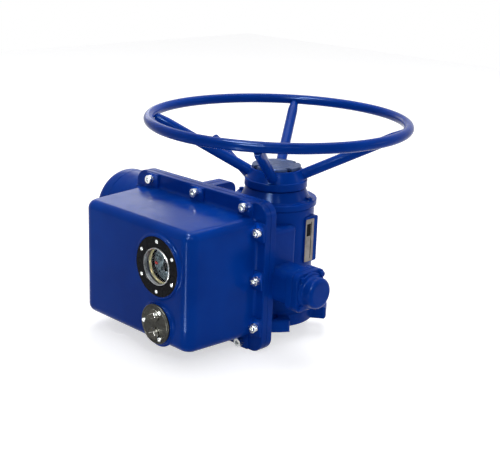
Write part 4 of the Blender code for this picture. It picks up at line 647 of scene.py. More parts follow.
def drafted_box(name, front, back, grow, corner, fillet):
    """The box between two depths: wide roundings on its front corners, smaller ones elsewhere."""
    wide, tall = box_sides(BOX_BACK, grow)
    front_wide, front_tall = box_sides(BOX_FACE, grow)
    box = block(name, (BOX_MIDDLE.x - wide, front, BOX_MIDDLE.z - tall),
                (BOX_MIDDLE.x + wide, back, BOX_MIDDLE.z + tall))
    with editing(box) as mesh:
        pick(mesh.faces, lambda face: face.normal.y < -0.9)
        bpy.ops.transform.resize(value=(front_wide / wide, 1, front_tall / tall),
                                 center_override=BOX_MIDDLE)

    def at_back(edge):
        return all(vert.co.y > back - 1e-5 for vert in edge.verts)

    def upright(edge):
        return (edge.verts[0].co.z > BOX_MIDDLE.z) != (edge.verts[1].co.z > BOX_MIDDLE.z)
    bevel_edges(box, corner, 10, lambda edge: upright(edge) and edge_middle(edge).y < front + 1e-4)
    bevel_edges(box, fillet, 8, lambda edge: not upright(edge) and not at_back(edge))
    return box


def box_skirt():
    """The concave foot that runs around the box where it rises from the flange."""
    half_x, half_z = (half + SKIRT for half in box_sides(FLANGE_FACE - SKIRT))
    low = Vector((BOX_MIDDLE.x - half_x, FLANGE_FACE - 0.0001, BOX_MIDDLE.z - half_z))
    high = Vector((BOX_MIDDLE.x + half_x, BOX_BACK, BOX_MIDDLE.z + half_z))
    return raise_foot(plate("skirt", low, high, 0.0130 + SKIRT, Y, 8), FRONT, SKIRT, 5)


def screw_pad(name, x, z):
    """A raised pad from the flange's edge to the box's wall, beneath one screw."""
    half, deep, front = 0.0145, 0.002, FLANGE_FACE - 0.0035
    low = Vector((x - half, front, z - half))
    high = Vector((x + half, FLANGE_FACE + deep, z + half))
    if (x, z) in TOP_ROW:
        low.z, high.z = 0.1775, FLANGE_HIGH.z - 0.001
    elif (x, z) in BOTTOM_ROW:
        low.z, high.z = FLANGE_LOW.z + 0.001, 0.0015
    elif (x, z) in LEFT_COLUMN:
        low.x, high.x = FLANGE_LOW.x + 0.001, -0.194
    else:
        low.x, high.x = 0.049, FLANGE_HIGH.x - 0.001
    pad = plate(name, low, high, 0.0025, Y, 3)
    break_edges(pad, 0.0010, 60)
    return pad


def round_boss(name, radius, height, place, flare, rise, shoulder=0.0010):
    """A boss that swells out of the face in a hollow curve, flare wide and rise high."""
    profile = [(radius + flare, -0.003), *hollow_steps(radius, 0.00005, flare, rise, 6),
               *curve_steps(radius - shoulder, height - shoulder, shoulder, 0, 90)]
    return turned(name, profile, 96, FRONT, Vector((place.x, BOX_FACE, place.z)))


def make_cover():
    cover = flange_plate("compartment cover", FLANGE_FACE, FLANGE_BACK)
    round_rim(cover, FLANGE_FACE, 0.0018)
    unite(cover, drafted_box("box", BOX_FACE, BOX_BACK, 0.0, 0.0178, 0.0130), box_skirt(),
          *[screw_pad(f"pad {number}", x, z) for number, (x, z) in enumerate(COVER_SCREWS)],
          round_boss("window boss", 0.0465, 0.005, WINDOW, 0.005, 0.0033),
          round_boss("control boss", 0.031, 0.004, CONTROLS, 0.004, 0.0026))
    ring_seat = [(0.0273, 0.0), (0.0273, 0.2115), (0.0323, 0.2115), (0.0323, 0.2160),
                 (0.0438, 0.2160), (0.0438, 0.2260)]
    cut(cover, drafted_box("hollow", BOX_FACE + WALL, -0.080, -WALL, 0.0118, 0.0040),
        turned("window bore", ring_seat, 96, FRONT, WINDOW),
        front_drum("control bore", 0.022, 0.200, 0.226, 64, CONTROLS), *screw_holes(0.080, 0.100))
    clean_up(cover)
    settle(cover, "body_paint", "cover", finish=smooth_enamel, smooth_angle=28)


make_cover()

# %% [markdown]
# ## Cover screws
# A socket screw starts as a circle of 72 points. Every second pair of its side faces is drawn in a
# little for the knurling, the head's edge is rounded, and the hexagon socket is cut with a drill
# point at its bottom. Twelve copies go to their places. The small screws of the window and the
# controls are plain, and each set is one piece.


# %% Cover screws
def socket_screw(shank, head, height, across_flats, depth, length, segments=32, knurled=False):
    """A socket screw along Z whose head starts at zero and whose shank goes down."""
    rounding = head * 0.13
    profile = [(head - rounding / 3, 0.0), (head, rounding / 3), (head, height - rounding)]
    profile += curve_steps(head - rounding, height - rounding, rounding, 0, 90, 3)[1:]
    screw = turned("screw pattern", profile, segments)
    if knurled:
        step = 2 * math.pi / segments
        with editing(screw) as mesh:
            pick(mesh.verts, lambda vert: vert.co.xy.length > head - 1e-5
                 and round(math.atan2(vert.co.y, vert.co.x) / step) % 2 == 0)
            bpy.ops.transform.resize(value=(0.965, 0.965, 1), center_override=(0, 0, height / 2))
    corner = across_flats / math.sqrt(3)
    cut(screw, turned("socket", [(corner * 0.25, height - depth * 1.25),
                                 (corner * 0.86, height - depth), (corner, height - depth),
                                 (corner, height + 0.001)], 6))
    unite(screw, drum("shank", shank, -length, 0.0005, 24, chamfer=shank * 0.15))
    clean_up(screw)
    return screw


def make_cover_screws():
    pattern = socket_screw(0.0040, 0.0065, 0.008, 0.006, 0.004, 0.020, 72, knurled=True)
    groups = zip(TOP_ROW, BOTTOM_ROW, LEFT_COLUMN, RIGHT_COLUMN)
    for number, (x, z) in enumerate((place for group in groups for place in group), start=1):
        turn = turn_to(FRONT) @ Matrix.Rotation(math.radians(37 * number), 4, Z)
        seat = Matrix.Translation((x, FLANGE_FACE - 0.0038, z)) @ turn
        screw = copy_of(pattern, f"socket screw {number}", seat)
        settle(screw, "zinc_screws", f"cover_screw_{number}", smooth_angle=25)
    bpy.data.objects.remove(pattern)


def circle_places(middle, radius, count, start, depth):
    turns = [math.radians(start) + 2 * math.pi * index / count for index in range(count)]
    return [Vector((middle.x + radius * math.cos(turn), depth, middle.z + radius * math.sin(turn)))
            for turn in turns]


def make_small_screws(name, places, head, height):
    pattern = socket_screw(0.0012, head, height, 0.0024, 0.0011, 0.003)
    heads = [copy_of(pattern, f"{name} {number}", Matrix.Translation(place) @ turn_to(FRONT))
             for number, place in enumerate(places)]
    bpy.data.objects.remove(pattern)
    settle(join_pieces(heads, name), "steel", finish=bright_zinc)


make_cover_screws()

# %% [markdown]
# ## The window
# The black ring clamps the glass with six small screws. A bright washer backs the glass. Behind it
# a bright collar, a yellowed sealing ring and a dark collar line the bore down to the dial.

# %% Window ring, glass and collars
COLLARS = (("bright collar", 0.0269, 0.0262, 0.2161, 0.2213, 0.0002, "steel", None),
           ("glass washer", 0.0317, 0.0262, 0.2116, 0.2119, 0.0, "steel", None),
           ("sealing ring", 0.0269, 0.0252, 0.2078, 0.2115, 0.0006, "rubber", seal_yellow),
           ("dark collar", 0.0269, 0.0246, 0.2022, 0.2076, 0.0004, "black_ring", None))


def make_window():
    profile = [(0.0435, 0.2164), *curve_steps(0.0423, 0.2201, 0.0012, 0, 90)]
    ring = turned("window ring", profile, 128, FRONT, WINDOW)
    bore = [(0.0270, 0.210), (0.0270, 0.2190), (0.0302, 0.2230)]
    cut(ring, turned("ring bore", bore, 128, FRONT, WINDOW),
        *[front_drum(f"recess {number}", 0.0034, 0.2193, 0.2230, 32, place)
          for number, place in enumerate(circle_places(WINDOW, 0.037, 6, 30, 0.0))])
    break_edges(ring, 0.0003, 35)
    settle(ring, "black_ring", "window_ring")
    glass = front_drum("window pane", 0.0318, 0.2120, 0.2160, 96, WINDOW, 0.0004)
    settle(glass, "window_glass", "window_glass")
    make_small_screws("ring screws", circle_places(WINDOW, 0.037, 6, 30, -0.2194), 0.0027, 0.0018)
    for name, outer, inner, start, end, chamfer, slot, finish in COLLARS:
        collar = front_drum(name, outer, start, end, 96, WINDOW, chamfer)
        cut(collar, front_drum("bore", inner, start - 0.002, end + 0.002, 96, WINDOW))
        settle(collar, slot, finish=finish)


make_window()

# %% [markdown]
# ## The dial
# The dial has a raised rim, a scale of bold marks, plain numbers from 0 to 100 and a red mark near
# its end. The scale runs through 270 degrees, clockwise from the lower left.

# %% Dial
SCALE_START, SCALE_SWEEP = 225, 270
MARK_THICK = 0.0002


def dial_bar(name, width, start, end, angle, depth):
    """A thin bar on the dial, from one radius to another at an angle."""
    bar = block(name, (start, -MARK_THICK, -width / 2), (end, 0, width / 2))
    bar.data.transform(Matrix.Rotation(-math.radians(angle), 4, Y))
    bar.data.transform(Matrix.Translation((WINDOW.x, depth, WINDOW.z)))
    return bar


def dial_number(text, angle, depth):
    deselect_all()
    bpy.ops.object.text_add()
    piece = bpy.context.object
    piece.data.body = text
    piece.data.size = 0.0084
    piece.data.align_x = piece.data.align_y = "CENTER"
    piece.data.extrude = 0.0001
    bpy.ops.object.convert(target="MESH")
    piece.data.transform(Matrix.Rotation(math.radians(90), 4, X))
    place = circle_places(WINDOW, 0.0128, 1, angle, depth)[0]
    piece.data.transform(Matrix.Translation(place))
    return piece


def make_dial():
    low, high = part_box("dial")
    face, back = -low.y, -high.y
    profile = [(0.0258, back), (0.0258, face - 0.0003), (0.0252, face - 0.0001),
               (0.0246, face - 0.0003)]
    disc = turned("position dial", profile, 96, FRONT, WINDOW)
    cut(disc, front_drum("shaft hole", 0.0027, back - 0.002, face + 0.002, 32, WINDOW))
    settle(disc, "dial_enamel", "dial")
    marks = []
    for index in range(21):
        width, start = (0.0010, 0.0200) if index % 5 else (0.0017, 0.0185)
        marks.append(dial_bar(f"mark {index}", width, start, 0.0225,
                              SCALE_START - SCALE_SWEEP * index / 20, low.y - MARK_THICK))
    for index, text in enumerate(("0", "25", "50", "75", "100")):
        marks.append(dial_number(text, SCALE_START - SCALE_SWEEP * index / 4, low.y - 0.0003))
    settle(join_pieces(marks, "dial scale"), "dial_enamel", finish=mark_paint, weighted=False)
    end_mark = dial_bar("dial end mark", 0.0034, 0.0190, 0.0240, 190, low.y - MARK_THICK)
    settle(end_mark, "dial_enamel", finish=mark_red, weighted=False)


make_dial()

# %% [markdown]
# ## Pointer and local controls
# The pointer's outline starts as a thin block whose end is drawn together and whose tail is pulled
# wide. The two selector knobs are low discs with a bar left between two flats, standing on a turned
# plate that three small screws hold. Both bars point up to the right at rest.

# %% Pointer, control plate and knobs
KNOB_TURN = math.radians(26)
KNOB_SEAT, KNOB_GRIP = 0.2236, 0.0055


def make_pointer():
    low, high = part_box("pointer")
    front, back = low.y, low.y + 0.0009
    blade = block("travel pointer", (WINDOW.x - 0.0020, front, WINDOW.z),
                  (WINDOW.x + 0.0020, back, high.z))
    with editing(blade) as mesh:
        pick(mesh.faces, lambda face: face.normal.z > 0.9)
        bpy.ops.transform.resize(value=(0.15, 1, 1), center_override=(WINDOW.x, 0, high.z))
    unite(blade, block("tail", (low.x + 0.0001, front + 0.00005, low.z),
                       (high.x - 0.0001, back - 0.00005, WINDOW.z)),
          front_drum("cap", 0.0033, -back, -front + 0.00002, 32, WINDOW),
          front_drum("shaft", 0.0019, -high.y, -back + 0.0002, 24, WINDOW))
    break_edges(blade, 0.00015, segments=1)
    settle(blade, "pointer_enamel", "pointer", body="indicator")


def make_controls():
    low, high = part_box("control_plate")
    front, back = -low.y, -high.y
    profile = [(0.0293, back), (0.0293, front - 0.0010),
               *curve_steps(0.0285, front - 0.0008, 0.0008, 0, 90, 3),
               (0.0268, front), (0.0262, front - 0.0005), (0.0256, front - 0.0005), (0.0250, front)]
    panel = turned("control panel", profile, 96, FRONT, CONTROLS)
    cut(panel, *[front_drum("hole", 0.0036, back - 0.001, front + 0.001, 48, CONTROLS + Z * rise)
                 for rise in (0.014, -0.014)])
    break_edges(panel, 0.0003)
    settle(panel, "dark_stainless", "control_plate")
    make_small_screws("panel screws", circle_places(CONTROLS, 0.0230, 3, 60, -front + 0.0001),
                      0.0031, 0.0020)


def make_knob(name, node, body):
    low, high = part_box(node)
    middle = Vector(((low.x + high.x) / 2, 0, (low.z + high.z) / 2))
    front, seat = -low.y, KNOB_SEAT
    profile = [(0.0029, -high.y), (0.0029, seat), (0.0084, seat), (0.0088, seat + 0.0004),
               (0.0089, seat + 0.0005), *curve_steps(0.0079, front - 0.0010, 0.0010, 0, 90)]
    knob = turned(name, profile, 64, FRONT, middle)
    for inner, outer in ((-0.0120, -0.0029), (0.0029, 0.0120)):
        flat = block("flat", (-0.012, -front - 0.001, inner), (0.012, -front + KNOB_GRIP, outer))
        bevel_edges(flat, 0.0012, 4, lambda edge: runs_along(edge, X)
                    and abs(edge_middle(edge).z) < 0.005 and edge_middle(edge).y > -front)
        flat.data.transform(Matrix.Rotation(-KNOB_TURN, 4, Y))
        flat.data.transform(Matrix.Translation(middle))
        cut(knob, flat)
    clean_up(knob)
    break_edges(knob, 0.0003)
    settle(knob, "dark_stainless", node, body=body, finish=knob_metal_painted_shade)


make_pointer()
make_controls()
make_knob("mode selector knob", "mode_knob", "mode_selector")
make_knob("command selector knob", "command_knob", "command_selector")

# %% [markdown]
# ## The main casting
# One iron casting carries everything: the valve flange with four lugs, the column, the neck and
# back plate that hold the compartment, the worm case across the column's front, the gear case
# behind, the square pad of the motor and two bosses for cable entries. Each starts as a block or
# a drum with its own roundings, and they are united into one. The gasket in front of the back
# plate was painted over with the casting, so its edge is blue.

# %% Main casting
LUG_REACH = 0.0875 / 0.0660
LUG_HALF_ANGLE = 18.5
FLANGE_MIDDLE = 0.009
PLATE_BACK = -0.0701
CABLE_ENTRIES = (Vector((-0.138, 0.010, 0)), Vector((-0.098, 0.010, 0)))
BORES = (("worm bore", 0.018, -0.094, 0.098, 64, WORM),
         ("inner bearing seat", 0.0212, -0.112, -0.090, 64, WORM),
         ("outer bearing seat", 0.0212, 0.085, 0.120, 64, WORM),
         ("spur chamber", 0.0360, -0.152, -0.111, 64, WORM),
         ("pinion chamber", 0.0260, -0.171, -0.140, 64, MOTOR),
         ("motor seat", 0.0503, -0.180, -0.1685, 96, MOTOR))


def four_around(radius, start, height=0.0):
    """Four places about the column, the first at an angle in degrees."""
    turns = [math.radians(start + 90 * index) for index in range(4)]
    return [Vector((radius * math.cos(turn), radius * math.sin(turn), height)) for turn in turns]


def valve_flange():
    piece = turned("main casting", [(0.0650, 0.0), (0.0660, 0.0010), (0.0660, 0.0170),
                                    (0.0645, 0.0190)], 120)

    def in_lug(vert):
        angle = math.degrees(math.atan2(vert.co.y, vert.co.x)) % 90 - 45
        return abs(angle) < LUG_HALF_ANGLE and vert.co.xy.length > 0.060
    with editing(piece, "VERT") as mesh:
        pick(mesh.verts, in_lug)
        bpy.ops.transform.resize(value=(LUG_REACH, LUG_REACH, 1),
                                 center_override=(0, 0, FLANGE_MIDDLE))
    bevel_edges(piece, 0.0050, 4, lambda edge: runs_along(edge, Z)
                and abs(edge_middle(edge).z - FLANGE_MIDDLE) < 0.001 and edge.is_manifold
                and abs(edge.calc_face_angle_signed(0)) > math.radians(25))
    return piece


def column():
    foot = ((0.0058, 0.0191), (0.0036, 0.0200), (0.0019, 0.0217), (0.0007, 0.0241), (0.0, 0.0275))
    profile = [(0.0490, -0.003), (0.0500, -0.002), (0.0500, 0.0095), (0.0640, 0.0100),
               (0.0640, 0.0189), *[(COLUMN_RADIUS + flare, height) for flare, height in foot],
               (COLUMN_RADIUS, 0.1765), (0.0590, COLUMN_TOP)]
    return turned("column", profile, 128)


def rounded_block(name, low, high, radius):
    piece = block(name, low, high)
    bevel_edges(piece, radius, 5, lambda edge: True)
    return piece


def bar_along_x(name, side, corner, start, end, middle, edge=0.0015):
    """A square bar with rounded corners, and with its end edges rounded if a size is given."""
    half = side / 2
    piece = plate(name, (start, middle.y - half, middle.z - half),
                  (end, middle.y + half, middle.z + half), corner, X, 6)
    if edge:
        bevel_edges(piece, edge, 3, lambda side_edge: not runs_along(side_edge, X))
    return piece


def back_plate():
    piece = flange_plate("back plate", -0.0819, PLATE_BACK)
    round_rim(piece, PLATE_BACK, 0.0020)
    return piece


def neck_foot():
    """The hollow curve that carries the neck into the back plate."""
    foot = plate("neck foot", (-0.042, -0.0735, 0.048), (0.0685, -0.0700, 0.172), 0.020)
    return raise_foot(foot, Y, 0.012, 8)


def nameplate_pad():
    pad = plate("plate pad", (0.040, 0.0004, 0.095), (0.0625, 0.029, 0.166), 0.003, X, 4)
    bevel_edges(pad, 0.0010, 2, lambda edge: abs(edge_middle(edge).x - 0.0625) < 1e-5)
    return pad


def make_gasket():
    """The gasket between the cover and the plate, painted over and nearly flush with both."""
    gasket = flange_plate("painted gasket", FLANGE_BACK, -0.0820, 0.0004)
    cut(gasket, block("window", (-0.188, -0.090, 0.007), (0.043, -0.075, 0.172)),
        *screw_holes(0.075, 0.090))
    settle(gasket, "rubber", "cover_gasket", finish=smooth_enamel)


def make_casting():
    casting = valve_flange()
    unite(casting, column(),
          rounded_block("neck", (-0.030, -0.076, 0.060), (0.064, -0.018, 0.160), 0.008),
          neck_foot(),
          rounded_block("gear case", (-0.170, -0.078, 0.024), (0, 0.052, 0.160), 0.012),
          bar_along_x("motor pad", 0.144, 0.014, -0.173, -0.158, MOTOR),
          drum("spur boss", 0.0405, -0.160, -0.111, 96, X, WORM, 0.002),
          back_plate(),
          bar_along_x("worm case", 0.052, 0.012, -0.105, 0.0973, WORM, 0),
          bar_along_x("worm flange", 0.058, 0.010, 0.097, 0.109, WORM, 0.0012),
          *[drum("entry boss", 0.018, 0.018, 0.030, 64, Z, place, 0.001)
            for place in CABLE_ENTRIES],
          nameplate_pad(),
          *[front_drum("standoff", 0.0060, 0.0800, 0.0968, 32, Vector((x, 0, z)))
            for x in (-0.158, 0.011) for z in (0.033, 0.146)])
    clean_up(casting)
    bolt_hole = [(0.0100, -0.001), (0.0090, 0.0005), (0.0090, 0.0185), (0.0100, 0.020)]
    main_bore = [(0.0235, -0.010), (0.0235, 0.0200), (0.0313, 0.0210), (0.0313, 0.0340),
                 (0.0510, 0.0341), (0.0510, 0.1880)]
    cut(casting, *[turned("bolt hole", bolt_hole, 48, Z, place)
                   for place in four_around(0.070, 45)],
        turned("main bore", main_bore, 96),
        *[drum(name, radius, start, end, segments, X, middle)
          for name, radius, start, end, segments, middle in BORES],
        *[drum("entry", 0.0145, 0.010, 0.040, 48, Z, place) for place in CABLE_ENTRIES])
    clean_up(casting)
    break_edges(casting, 0.0006, 50)
    settle(casting, "body_paint", "housing", smooth_angle=30)


make_gasket()
make_casting()

# %% [markdown]
# ## The top cover
# A plate closes the column, and a neck that tapers a little rises from it under the hub. Four
# small socket screws hold it, painted over with the rest, each on a low pad, and two ears carry
# the changeover lever's pin.

# %% Top cover and lever
LEVER_FRAME = (Matrix.Translation((-0.054058, 0.006925, 0.1983))
               @ Matrix.Rotation(math.radians(172.7), 4, "Z"))
LEVER_TILT = Matrix.Rotation(math.pi / 2 - math.radians(26), 4, "Y")
COVER_SCREW_CIRCLE, COVER_SCREW_START = 0.0555, 20
NECK_FOOT = 0.0036


def make_ear(low, high):
    """An ear of the lever's bearing: a round eye on a foot, in the lever's own frame."""
    eye = drum("ear", 0.0055, low, high, 48, Y, ORIGIN, 0.0005)
    foot = block("ear foot", (-0.0055, low, -0.0115), (0.0055, high, 0.0))
    bevel_edges(foot, 0.0005, 2, lambda edge: runs_along(edge, Z))
    unite(eye, foot)
    cut(eye, drum("eye", 0.0031, low - 0.001, high + 0.001, 32, Y))
    eye.data.transform(LEVER_FRAME)
    return eye


def make_top_cover():
    profile = [(0.0490, 0.1725), (0.0505, 0.1730), (0.0505, 0.1781), (0.0618, 0.1783),
               (0.0630, 0.1795), *curve_steps(0.0612, 0.1860, 0.0018, 0, 90),
               *hollow_steps(0.0508, 0.18785, NECK_FOOT, NECK_FOOT, 8)[:-1],
               (0.0460, 0.2014), (0.0450, 0.2028)]
    cover = turned("column cover", profile, 128)
    pad = [(0.0072, 0.1850), (0.0072, 0.1881), (0.0066, 0.1887), (0.0050, 0.1887)]
    unite(cover, *[turned("screw pad", pad, 48, Z, place)
                   for place in four_around(COVER_SCREW_CIRCLE, COVER_SCREW_START)],
          make_ear(-0.0123, -0.0063), make_ear(0.0063, 0.0123))
    cut(cover, turned("cover bore", [(0.0305, 0.160), (0.0305, 0.190), (0.0226, 0.1901),
                                     (0.0226, 0.210)], 64))
    clean_up(cover)
    break_edges(cover, 0.0005, 50)
    settle(cover, "body_paint", "top_cover", finish=smooth_enamel)
    pattern = socket_screw(0.0020, 0.0046, 0.0042, 0.0042, 0.0028, 0.0150, 48)
    places = four_around(COVER_SCREW_CIRCLE, COVER_SCREW_START, 0.18865)
    for index, place in enumerate(places):
        seat = Matrix.Translation(place) @ Matrix.Rotation(0.5 + index, 4, Z)
        settle(copy_of(pattern, f"cap screw {index + 1}", seat), "black_screws",
               f"top_cover_screw_{index + 1}", finish=smooth_enamel)
    bpy.data.objects.remove(pattern)


def make_lever():
    profile = [(0.0038, 0.0), (0.0044, 0.0020), (0.0048, 0.0060), (0.0060, 0.0110),
               (0.0060, 0.1122), *curve_steps(0.0034, 0.1122, 0.0026, 0, 90)[1:]]
    rod = turned("changeover handle", profile, 48)
    rod.data.transform(LEVER_TILT)
    unite(rod, drum("lever eye", 0.0062, -0.0060, 0.0060, 48, Y, ORIGIN, 0.0006))
    cut(rod, drum("pin hole", 0.0032, -0.010, 0.010, 32, Y))
    clean_up(rod)
    rod.data.transform(LEVER_FRAME)
    settle(rod, "wheel_paint", "changeover_lever", body="lever")
    pin = drum("lever hinge pin", 0.0029, -0.0123, 0.0123, 32, Y, ORIGIN, 0.0004)
    pin.data.transform(LEVER_FRAME)
    settle(pin, "steel", "lever_pin")


make_top_cover()
make_lever()

# %% [markdown]
# ## The handwheel
# The rim is a bent tube with two low swellings, where its halves are joined. Four straight tubes
# run up to it from the hub, a little thinner towards the rim. The hub is a turned cone on a low
# skirt, with a notched cap over the stem.

# %% Handwheel
WHEEL_RADIUS, WHEEL_HEIGHT = 0.1915, 0.303
SPOKE_START = 34.8
SPOKE_RADIUS, SPOKE_DRAWN_IN = 0.0080, 0.0230


def make_rim():
    deselect_all()
    bpy.ops.mesh.primitive_torus_add(major_radius=WHEEL_RADIUS, minor_radius=0.0076,
                                     major_segments=192, minor_segments=28,
                                     location=(0, 0, WHEEL_HEIGHT))
    rim = name_new_piece("wheel rim")
    for middle in four_around(WHEEL_RADIUS, 118, WHEEL_HEIGHT)[::2]:
        with editing(rim, "VERT") as mesh:
            pick(mesh.verts, lambda vert: (vert.co - middle).length < 0.0082)
            bpy.ops.transform.resize(value=(1.012, 1.012, 1.012), center_override=middle)
    settle(rim, "wheel_paint", "handwheel_rim", body="handwheel", smooth_angle=60, weighted=False)


def make_spokes():
    """Straight tubes: full width at the hub and drawn in over their last part at the rim."""
    ends = zip(four_around(0.0345, SPOKE_START, 0.2208),
               four_around(WHEEL_RADIUS, SPOKE_START, WHEEL_HEIGHT - 0.004))
    for number, (foot, rim) in enumerate(ends, start=1):
        reach = (rim - foot).length - 0.0050
        straight = reach - SPOKE_DRAWN_IN
        profile = [(SPOKE_RADIUS, 0.0), (SPOKE_RADIUS, straight)]
        profile += [(SPOKE_RADIUS - 0.0015 * math.sin(step * math.pi / 12) ** 2,
                     straight + SPOKE_DRAWN_IN * step / 6) for step in range(1, 7)]
        spoke = turned(f"wheel spoke {number}", profile, 40)
        spoke.data.transform(Matrix.Translation(foot) @ turn_to((rim - foot).normalized()))
        settle(spoke, "wheel_paint", f"handwheel_spoke_{number}", body="handwheel",
               smooth_angle=40)


def make_hub():
    profile = [(0.0462, 0.2043), (0.0475, 0.2055), *curve_steps(0.0463, 0.2150, 0.0012, 0, 80),
               (0.0452, 0.2164), (0.0449, 0.2172), (0.0393, 0.2298),
               *curve_steps(0.0370, 0.2300, 0.0023, 20, 90), (0.0374, 0.2323), (0.0374, 0.2300)]
    hub = turned("wheel hub", profile, 128)
    bore = [(0.0223, 0.200), (0.0223, 0.2284), (0.0262, 0.2285), (0.0262, 0.236)]
    cut(hub, turned("hub bore", bore, 64))
    break_edges(hub, 0.0004, 45)
    settle(hub, "wheel_paint", "handwheel_hub", body="handwheel")


def make_stem_cap():
    profile = [(0.0258, 0.2287), (0.0258, 0.2325), (0.0366, 0.2326), (0.0368, 0.2330),
               (0.0368, 0.2355), *curve_steps(0.0359, 0.2357, 0.0009, 0, 90),
               (0.0285, 0.2366), (0.0278, 0.2361), (0.0200, 0.2361), (0.0192, 0.2366)]
    cap = turned("notched stem cap", profile, 128)
    for index in range(4):
        notch = block("notch", (0.0300, -0.0038, 0.2300), (0.0400, 0.0038, 0.2400))
        bevel_edges(notch, 0.0010, 3,
                    lambda edge: runs_along(edge, Z) and edge_middle(edge).x < 0.035)
        notch.data.transform(Matrix.Rotation(math.radians(74 + 90 * index), 4, Z))
        cut(cap, notch)
    break_edges(cap, 0.0004, 45)
    settle(cap, "cap_metal", "stem_cap", body="handwheel")


make_rim()
make_spokes()
make_hub()
make_stem_cap()

# %% [markdown]
# ## Motor and worm end cap
# The motor is a plain barrel on a square flange, closed by a domed end cover. A square plate with a
# rounded dome closes the worm case, and four bolts hold it, painted over.

# %% Motor and end cap
BELL_START, BELL_END = -0.3706, -0.3386
BOLT_OFFSET = 0.0213


def square_places(middle, x, half):
    return [Vector((x, middle.y + y, middle.z + z)) for y in (-half, half) for z in (-half, half)]


def make_motor():
    barrel = bar_along_x("motor barrel", 0.144, 0.014, -0.1883, -0.1733, MOTOR)
    unite(barrel, drum("barrel", 0.0650, -0.3383, -0.1800, 128, X, MOTOR, 0.0008),
          drum("register", 0.0500, -0.1740, -0.1693, 96, X, MOTOR))
    bore = [(0.0590, -0.3400), (0.0590, -0.2023), (0.0205, -0.2022), (0.0205, -0.1900),
            (0.0125, -0.1899), (0.0125, -0.1600)]
    cut(barrel, turned("motor bore", bore, 96, X, MOTOR))
    clean_up(barrel)
    break_edges(barrel, 0.0006, 50)
    settle(barrel, "body_paint", "motor_body")


def make_motor_cover():
    profile = [(0.0100, BELL_START), *curve_steps(0.0470, BELL_START + 0.018, 0.018, -90, 0, 8),
               (0.0650, BELL_END - 0.0008), (0.0642, BELL_END), (0.0586, BELL_END),
               (0.0586, BELL_END + 0.0040)]
    cover = turned("motor end bell", profile, 128, X, MOTOR)
    hollow = [(0.0212, -0.3562), (0.0212, -0.3430), (0.0520, -0.3429), (0.0520, -0.3300)]
    cut(cover, turned("bell hollow", hollow, 96, X, MOTOR))
    clean_up(cover)
    settle(cover, "body_paint", "motor_end_cover")


def make_worm_cap():
    cap = bar_along_x("worm end cover", 0.058, 0.010, 0.1093, 0.1193, WORM, 0.0012)
    profile = [(0.0275, 0.1185), *curve_steps(0.0255, 0.1208, 0.0020, 0, 80),
               *hollow_steps(0.0230, 0.1229, 0.0024, 0.0030, 4),
               *curve_steps(0.0165, 0.1338, 0.0065, 0, 90, 6)]
    unite(cap, turned("dome", profile, 96, X, WORM),
          *[drum("bolt pad", 0.0066, 0.1150, 0.1203, 40, X, place, 0.0006)
            for place in square_places(WORM, 0.0, BOLT_OFFSET)],
          drum("spigot", 0.0205, 0.1050, 0.1100, 64, X, WORM))
    clean_up(cap)
    settle(cap, "body_paint", "worm_end_cap")
    corner, height, bolts = 0.0080 / math.sqrt(3), 0.0045, []
    for number, place in enumerate(square_places(WORM, 0.1201, BOLT_OFFSET)):
        bolt = turned("bolt", [(corner, 0.0), (corner, height * 0.82), (corner * 0.84, height)], 6)
        bolt.data.transform(Matrix.Rotation(0.3 + number, 4, Z))
        bolt.data.transform(Matrix.Translation(place) @ turn_to(X))
        break_edges(bolt, 0.0003, 30)
        bolts.append(bolt)
    settle(join_pieces(bolts, "end cap bolts"), "body_paint")


make_motor()
make_motor_cover()
make_worm_cap()

# %% [markdown]
# ## Nameplate
# The nameplate is bare metal: a thin plate with small corner radii and four round rivets. A dark
# field and an upright line, both blank, stand where the photograph shows a darker part.


# %% Nameplate
def make_nameplate():
    low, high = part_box("nameplate")
    front = high.x - 0.0002
    sheet = plate("bare plate", low, (front, high.y, high.z), 0.0015, X, 4)
    rivet = [(0.0013, high.x - 0.0005), (0.0013, front), (0.0009, high.x - 0.00005),
             (0.0004, high.x)]
    unite(sheet, *[turned("rivet", rivet, 24, X, Vector((0, y, z)))
                   for y in (low.y + 0.003, high.y - 0.003)
                   for z in (low.z + 0.003, high.z - 0.003)])
    settle(sheet, "nameplate", "nameplate")
    across = high.y - low.y
    field = plate("nameplate field", (front - 0.0002, low.y + 0.0022, high.z - 0.026),
                  (front + 0.0001, low.y + 0.60 * across, high.z - 0.0070), 0.0006, X, 3)
    rule = block("nameplate rule", (front - 0.0002, low.y + 0.64 * across, low.z + 0.0045),
                 (front + 0.0001, low.y + 0.71 * across, high.z - 0.0045))
    settle(join_pieces([field, rule], "nameplate fields"), "nameplate", finish=black_enamel)


make_nameplate()


# %% [markdown]
# ## Solids that are shown as they are
# The entry plugs and the parts inside the casting are already fine enough. They only get the
# finish of their slot.


# %% Dress the remaining solids
def dress_solids():
    subparts = frame["record"]["subparts"]
    for subpart in subparts:
        solid = frame["nodes"][subpart["node"]]
        solid.data.materials.clear()
        solid.data.materials.append(SLOT_FINISHES[subpart["material_slot"]])
    return len(subparts)


print("solids dressed:", dress_solids())

# %% [markdown]
# ## Light and ground
# The photograph has no backdrop, so the world is white behind the object, and the floor is white
# too and keeps only a faint shadow. Four soft lamps light the object, most of it from above and
# behind. Three more lamps only shine: they draw the bright lines on the rounded edges and light no
# surface evenly.

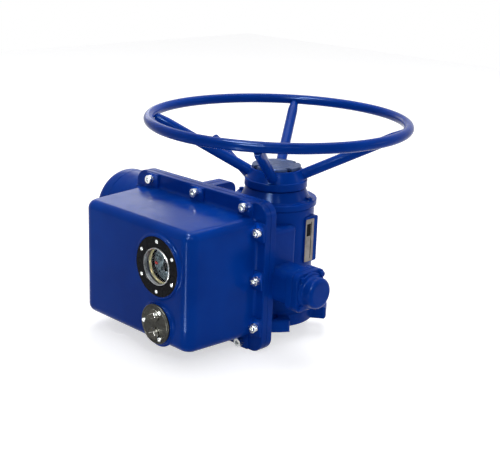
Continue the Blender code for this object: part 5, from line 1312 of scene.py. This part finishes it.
# %% Floor, world and lamps
WHITE = (1, 1, 1, 1)
LAMPS = (("overhead", (-0.5, 0.6, 2.2), (0, 0, 0.1), 1.6, 1.6, 34, False),
         ("key", (1.7, -1.2, 1.6), (0, -0.05, 0.1), 0.4, 0.4, 10, False),
         ("back left", (-1.92, 0.90, 0.80), (-0.05, -0.1, 0.18), 0.8, 0.5, 2.4, False),
         ("back right", (1.55, 1.45, 0.75), (0.0, -0.1, 0.18), 0.5, 0.4, 3, False),
         ("front", (0.46, -1.25, 1.15), (0.04, -0.2, 0.17), 0.40, 0.40, 80, True),
         ("high", (-0.09, -0.49, 1.41), (0.03, -0.04, 0.19), 0.36, 0.26, 64, True))


def make_floor(level):
    finish = Finish("white floor")
    grain = finish.noise(finish.place(), 40.0, 3.0, 0.5)
    colour = finish.mix(grain, (0.66, 0.66, 0.67, 1), (0.63, 0.63, 0.64, 1))
    glow = finish.mix(finish.seen_directly(), (0, 0, 0, 1), WHITE)
    floor_finish = finish.surface(Base_Color=colour, Roughness=0.8, Specular_IOR_Level=0.1,
                                  Emission_Color=glow, Emission_Strength=0.60)
    deselect_all()
    bpy.ops.mesh.primitive_plane_add(size=6.0, location=(0, 0, level))
    floor = name_new_piece("floor")
    floor.data.materials.append(floor_finish)


def make_world():
    world = bpy.data.worlds.new("white room")
    finish = Finish("white room", world)
    strength = finish.between(finish.seen_directly(), 0, 1, 0.48, 1.0)
    background = finish.node("Background", {"Color": WHITE, "Strength": strength})
    finish.node("OutputWorld", {"Surface": background})
    bpy.context.scene.world = world


def softbox(name, place, aim, width, height, watts, only_shine):
    data = bpy.data.lights.new(name, "AREA")
    data.energy = watts
    data.shape = "RECTANGLE"
    data.size, data.size_y = width, height
    lamp = bpy.data.objects.new(name, data)
    bpy.context.collection.objects.link(lamp)
    lamp.location = place
    lamp.rotation_euler = (Vector(aim) - Vector(place)).to_track_quat("-Z", "Y").to_euler()
    lamp.visible_camera = False
    lamp.visible_diffuse = not only_shine
    return lamp


make_floor(solid_low.z)
make_world()
for lamp_row in LAMPS:
    softbox(*lamp_row)
strip = softbox("edge strip", (0.106, -0.506, 0.004), (0.106, -0.506, 1.0), 0.030, 0.46, 2.4, True)
strip.rotation_euler = (math.pi, 0, math.radians(13.6))
bpy.context.scene.view_settings.view_transform = "Standard"
print("floor, world and", len(LAMPS) + 1, "lamps made")
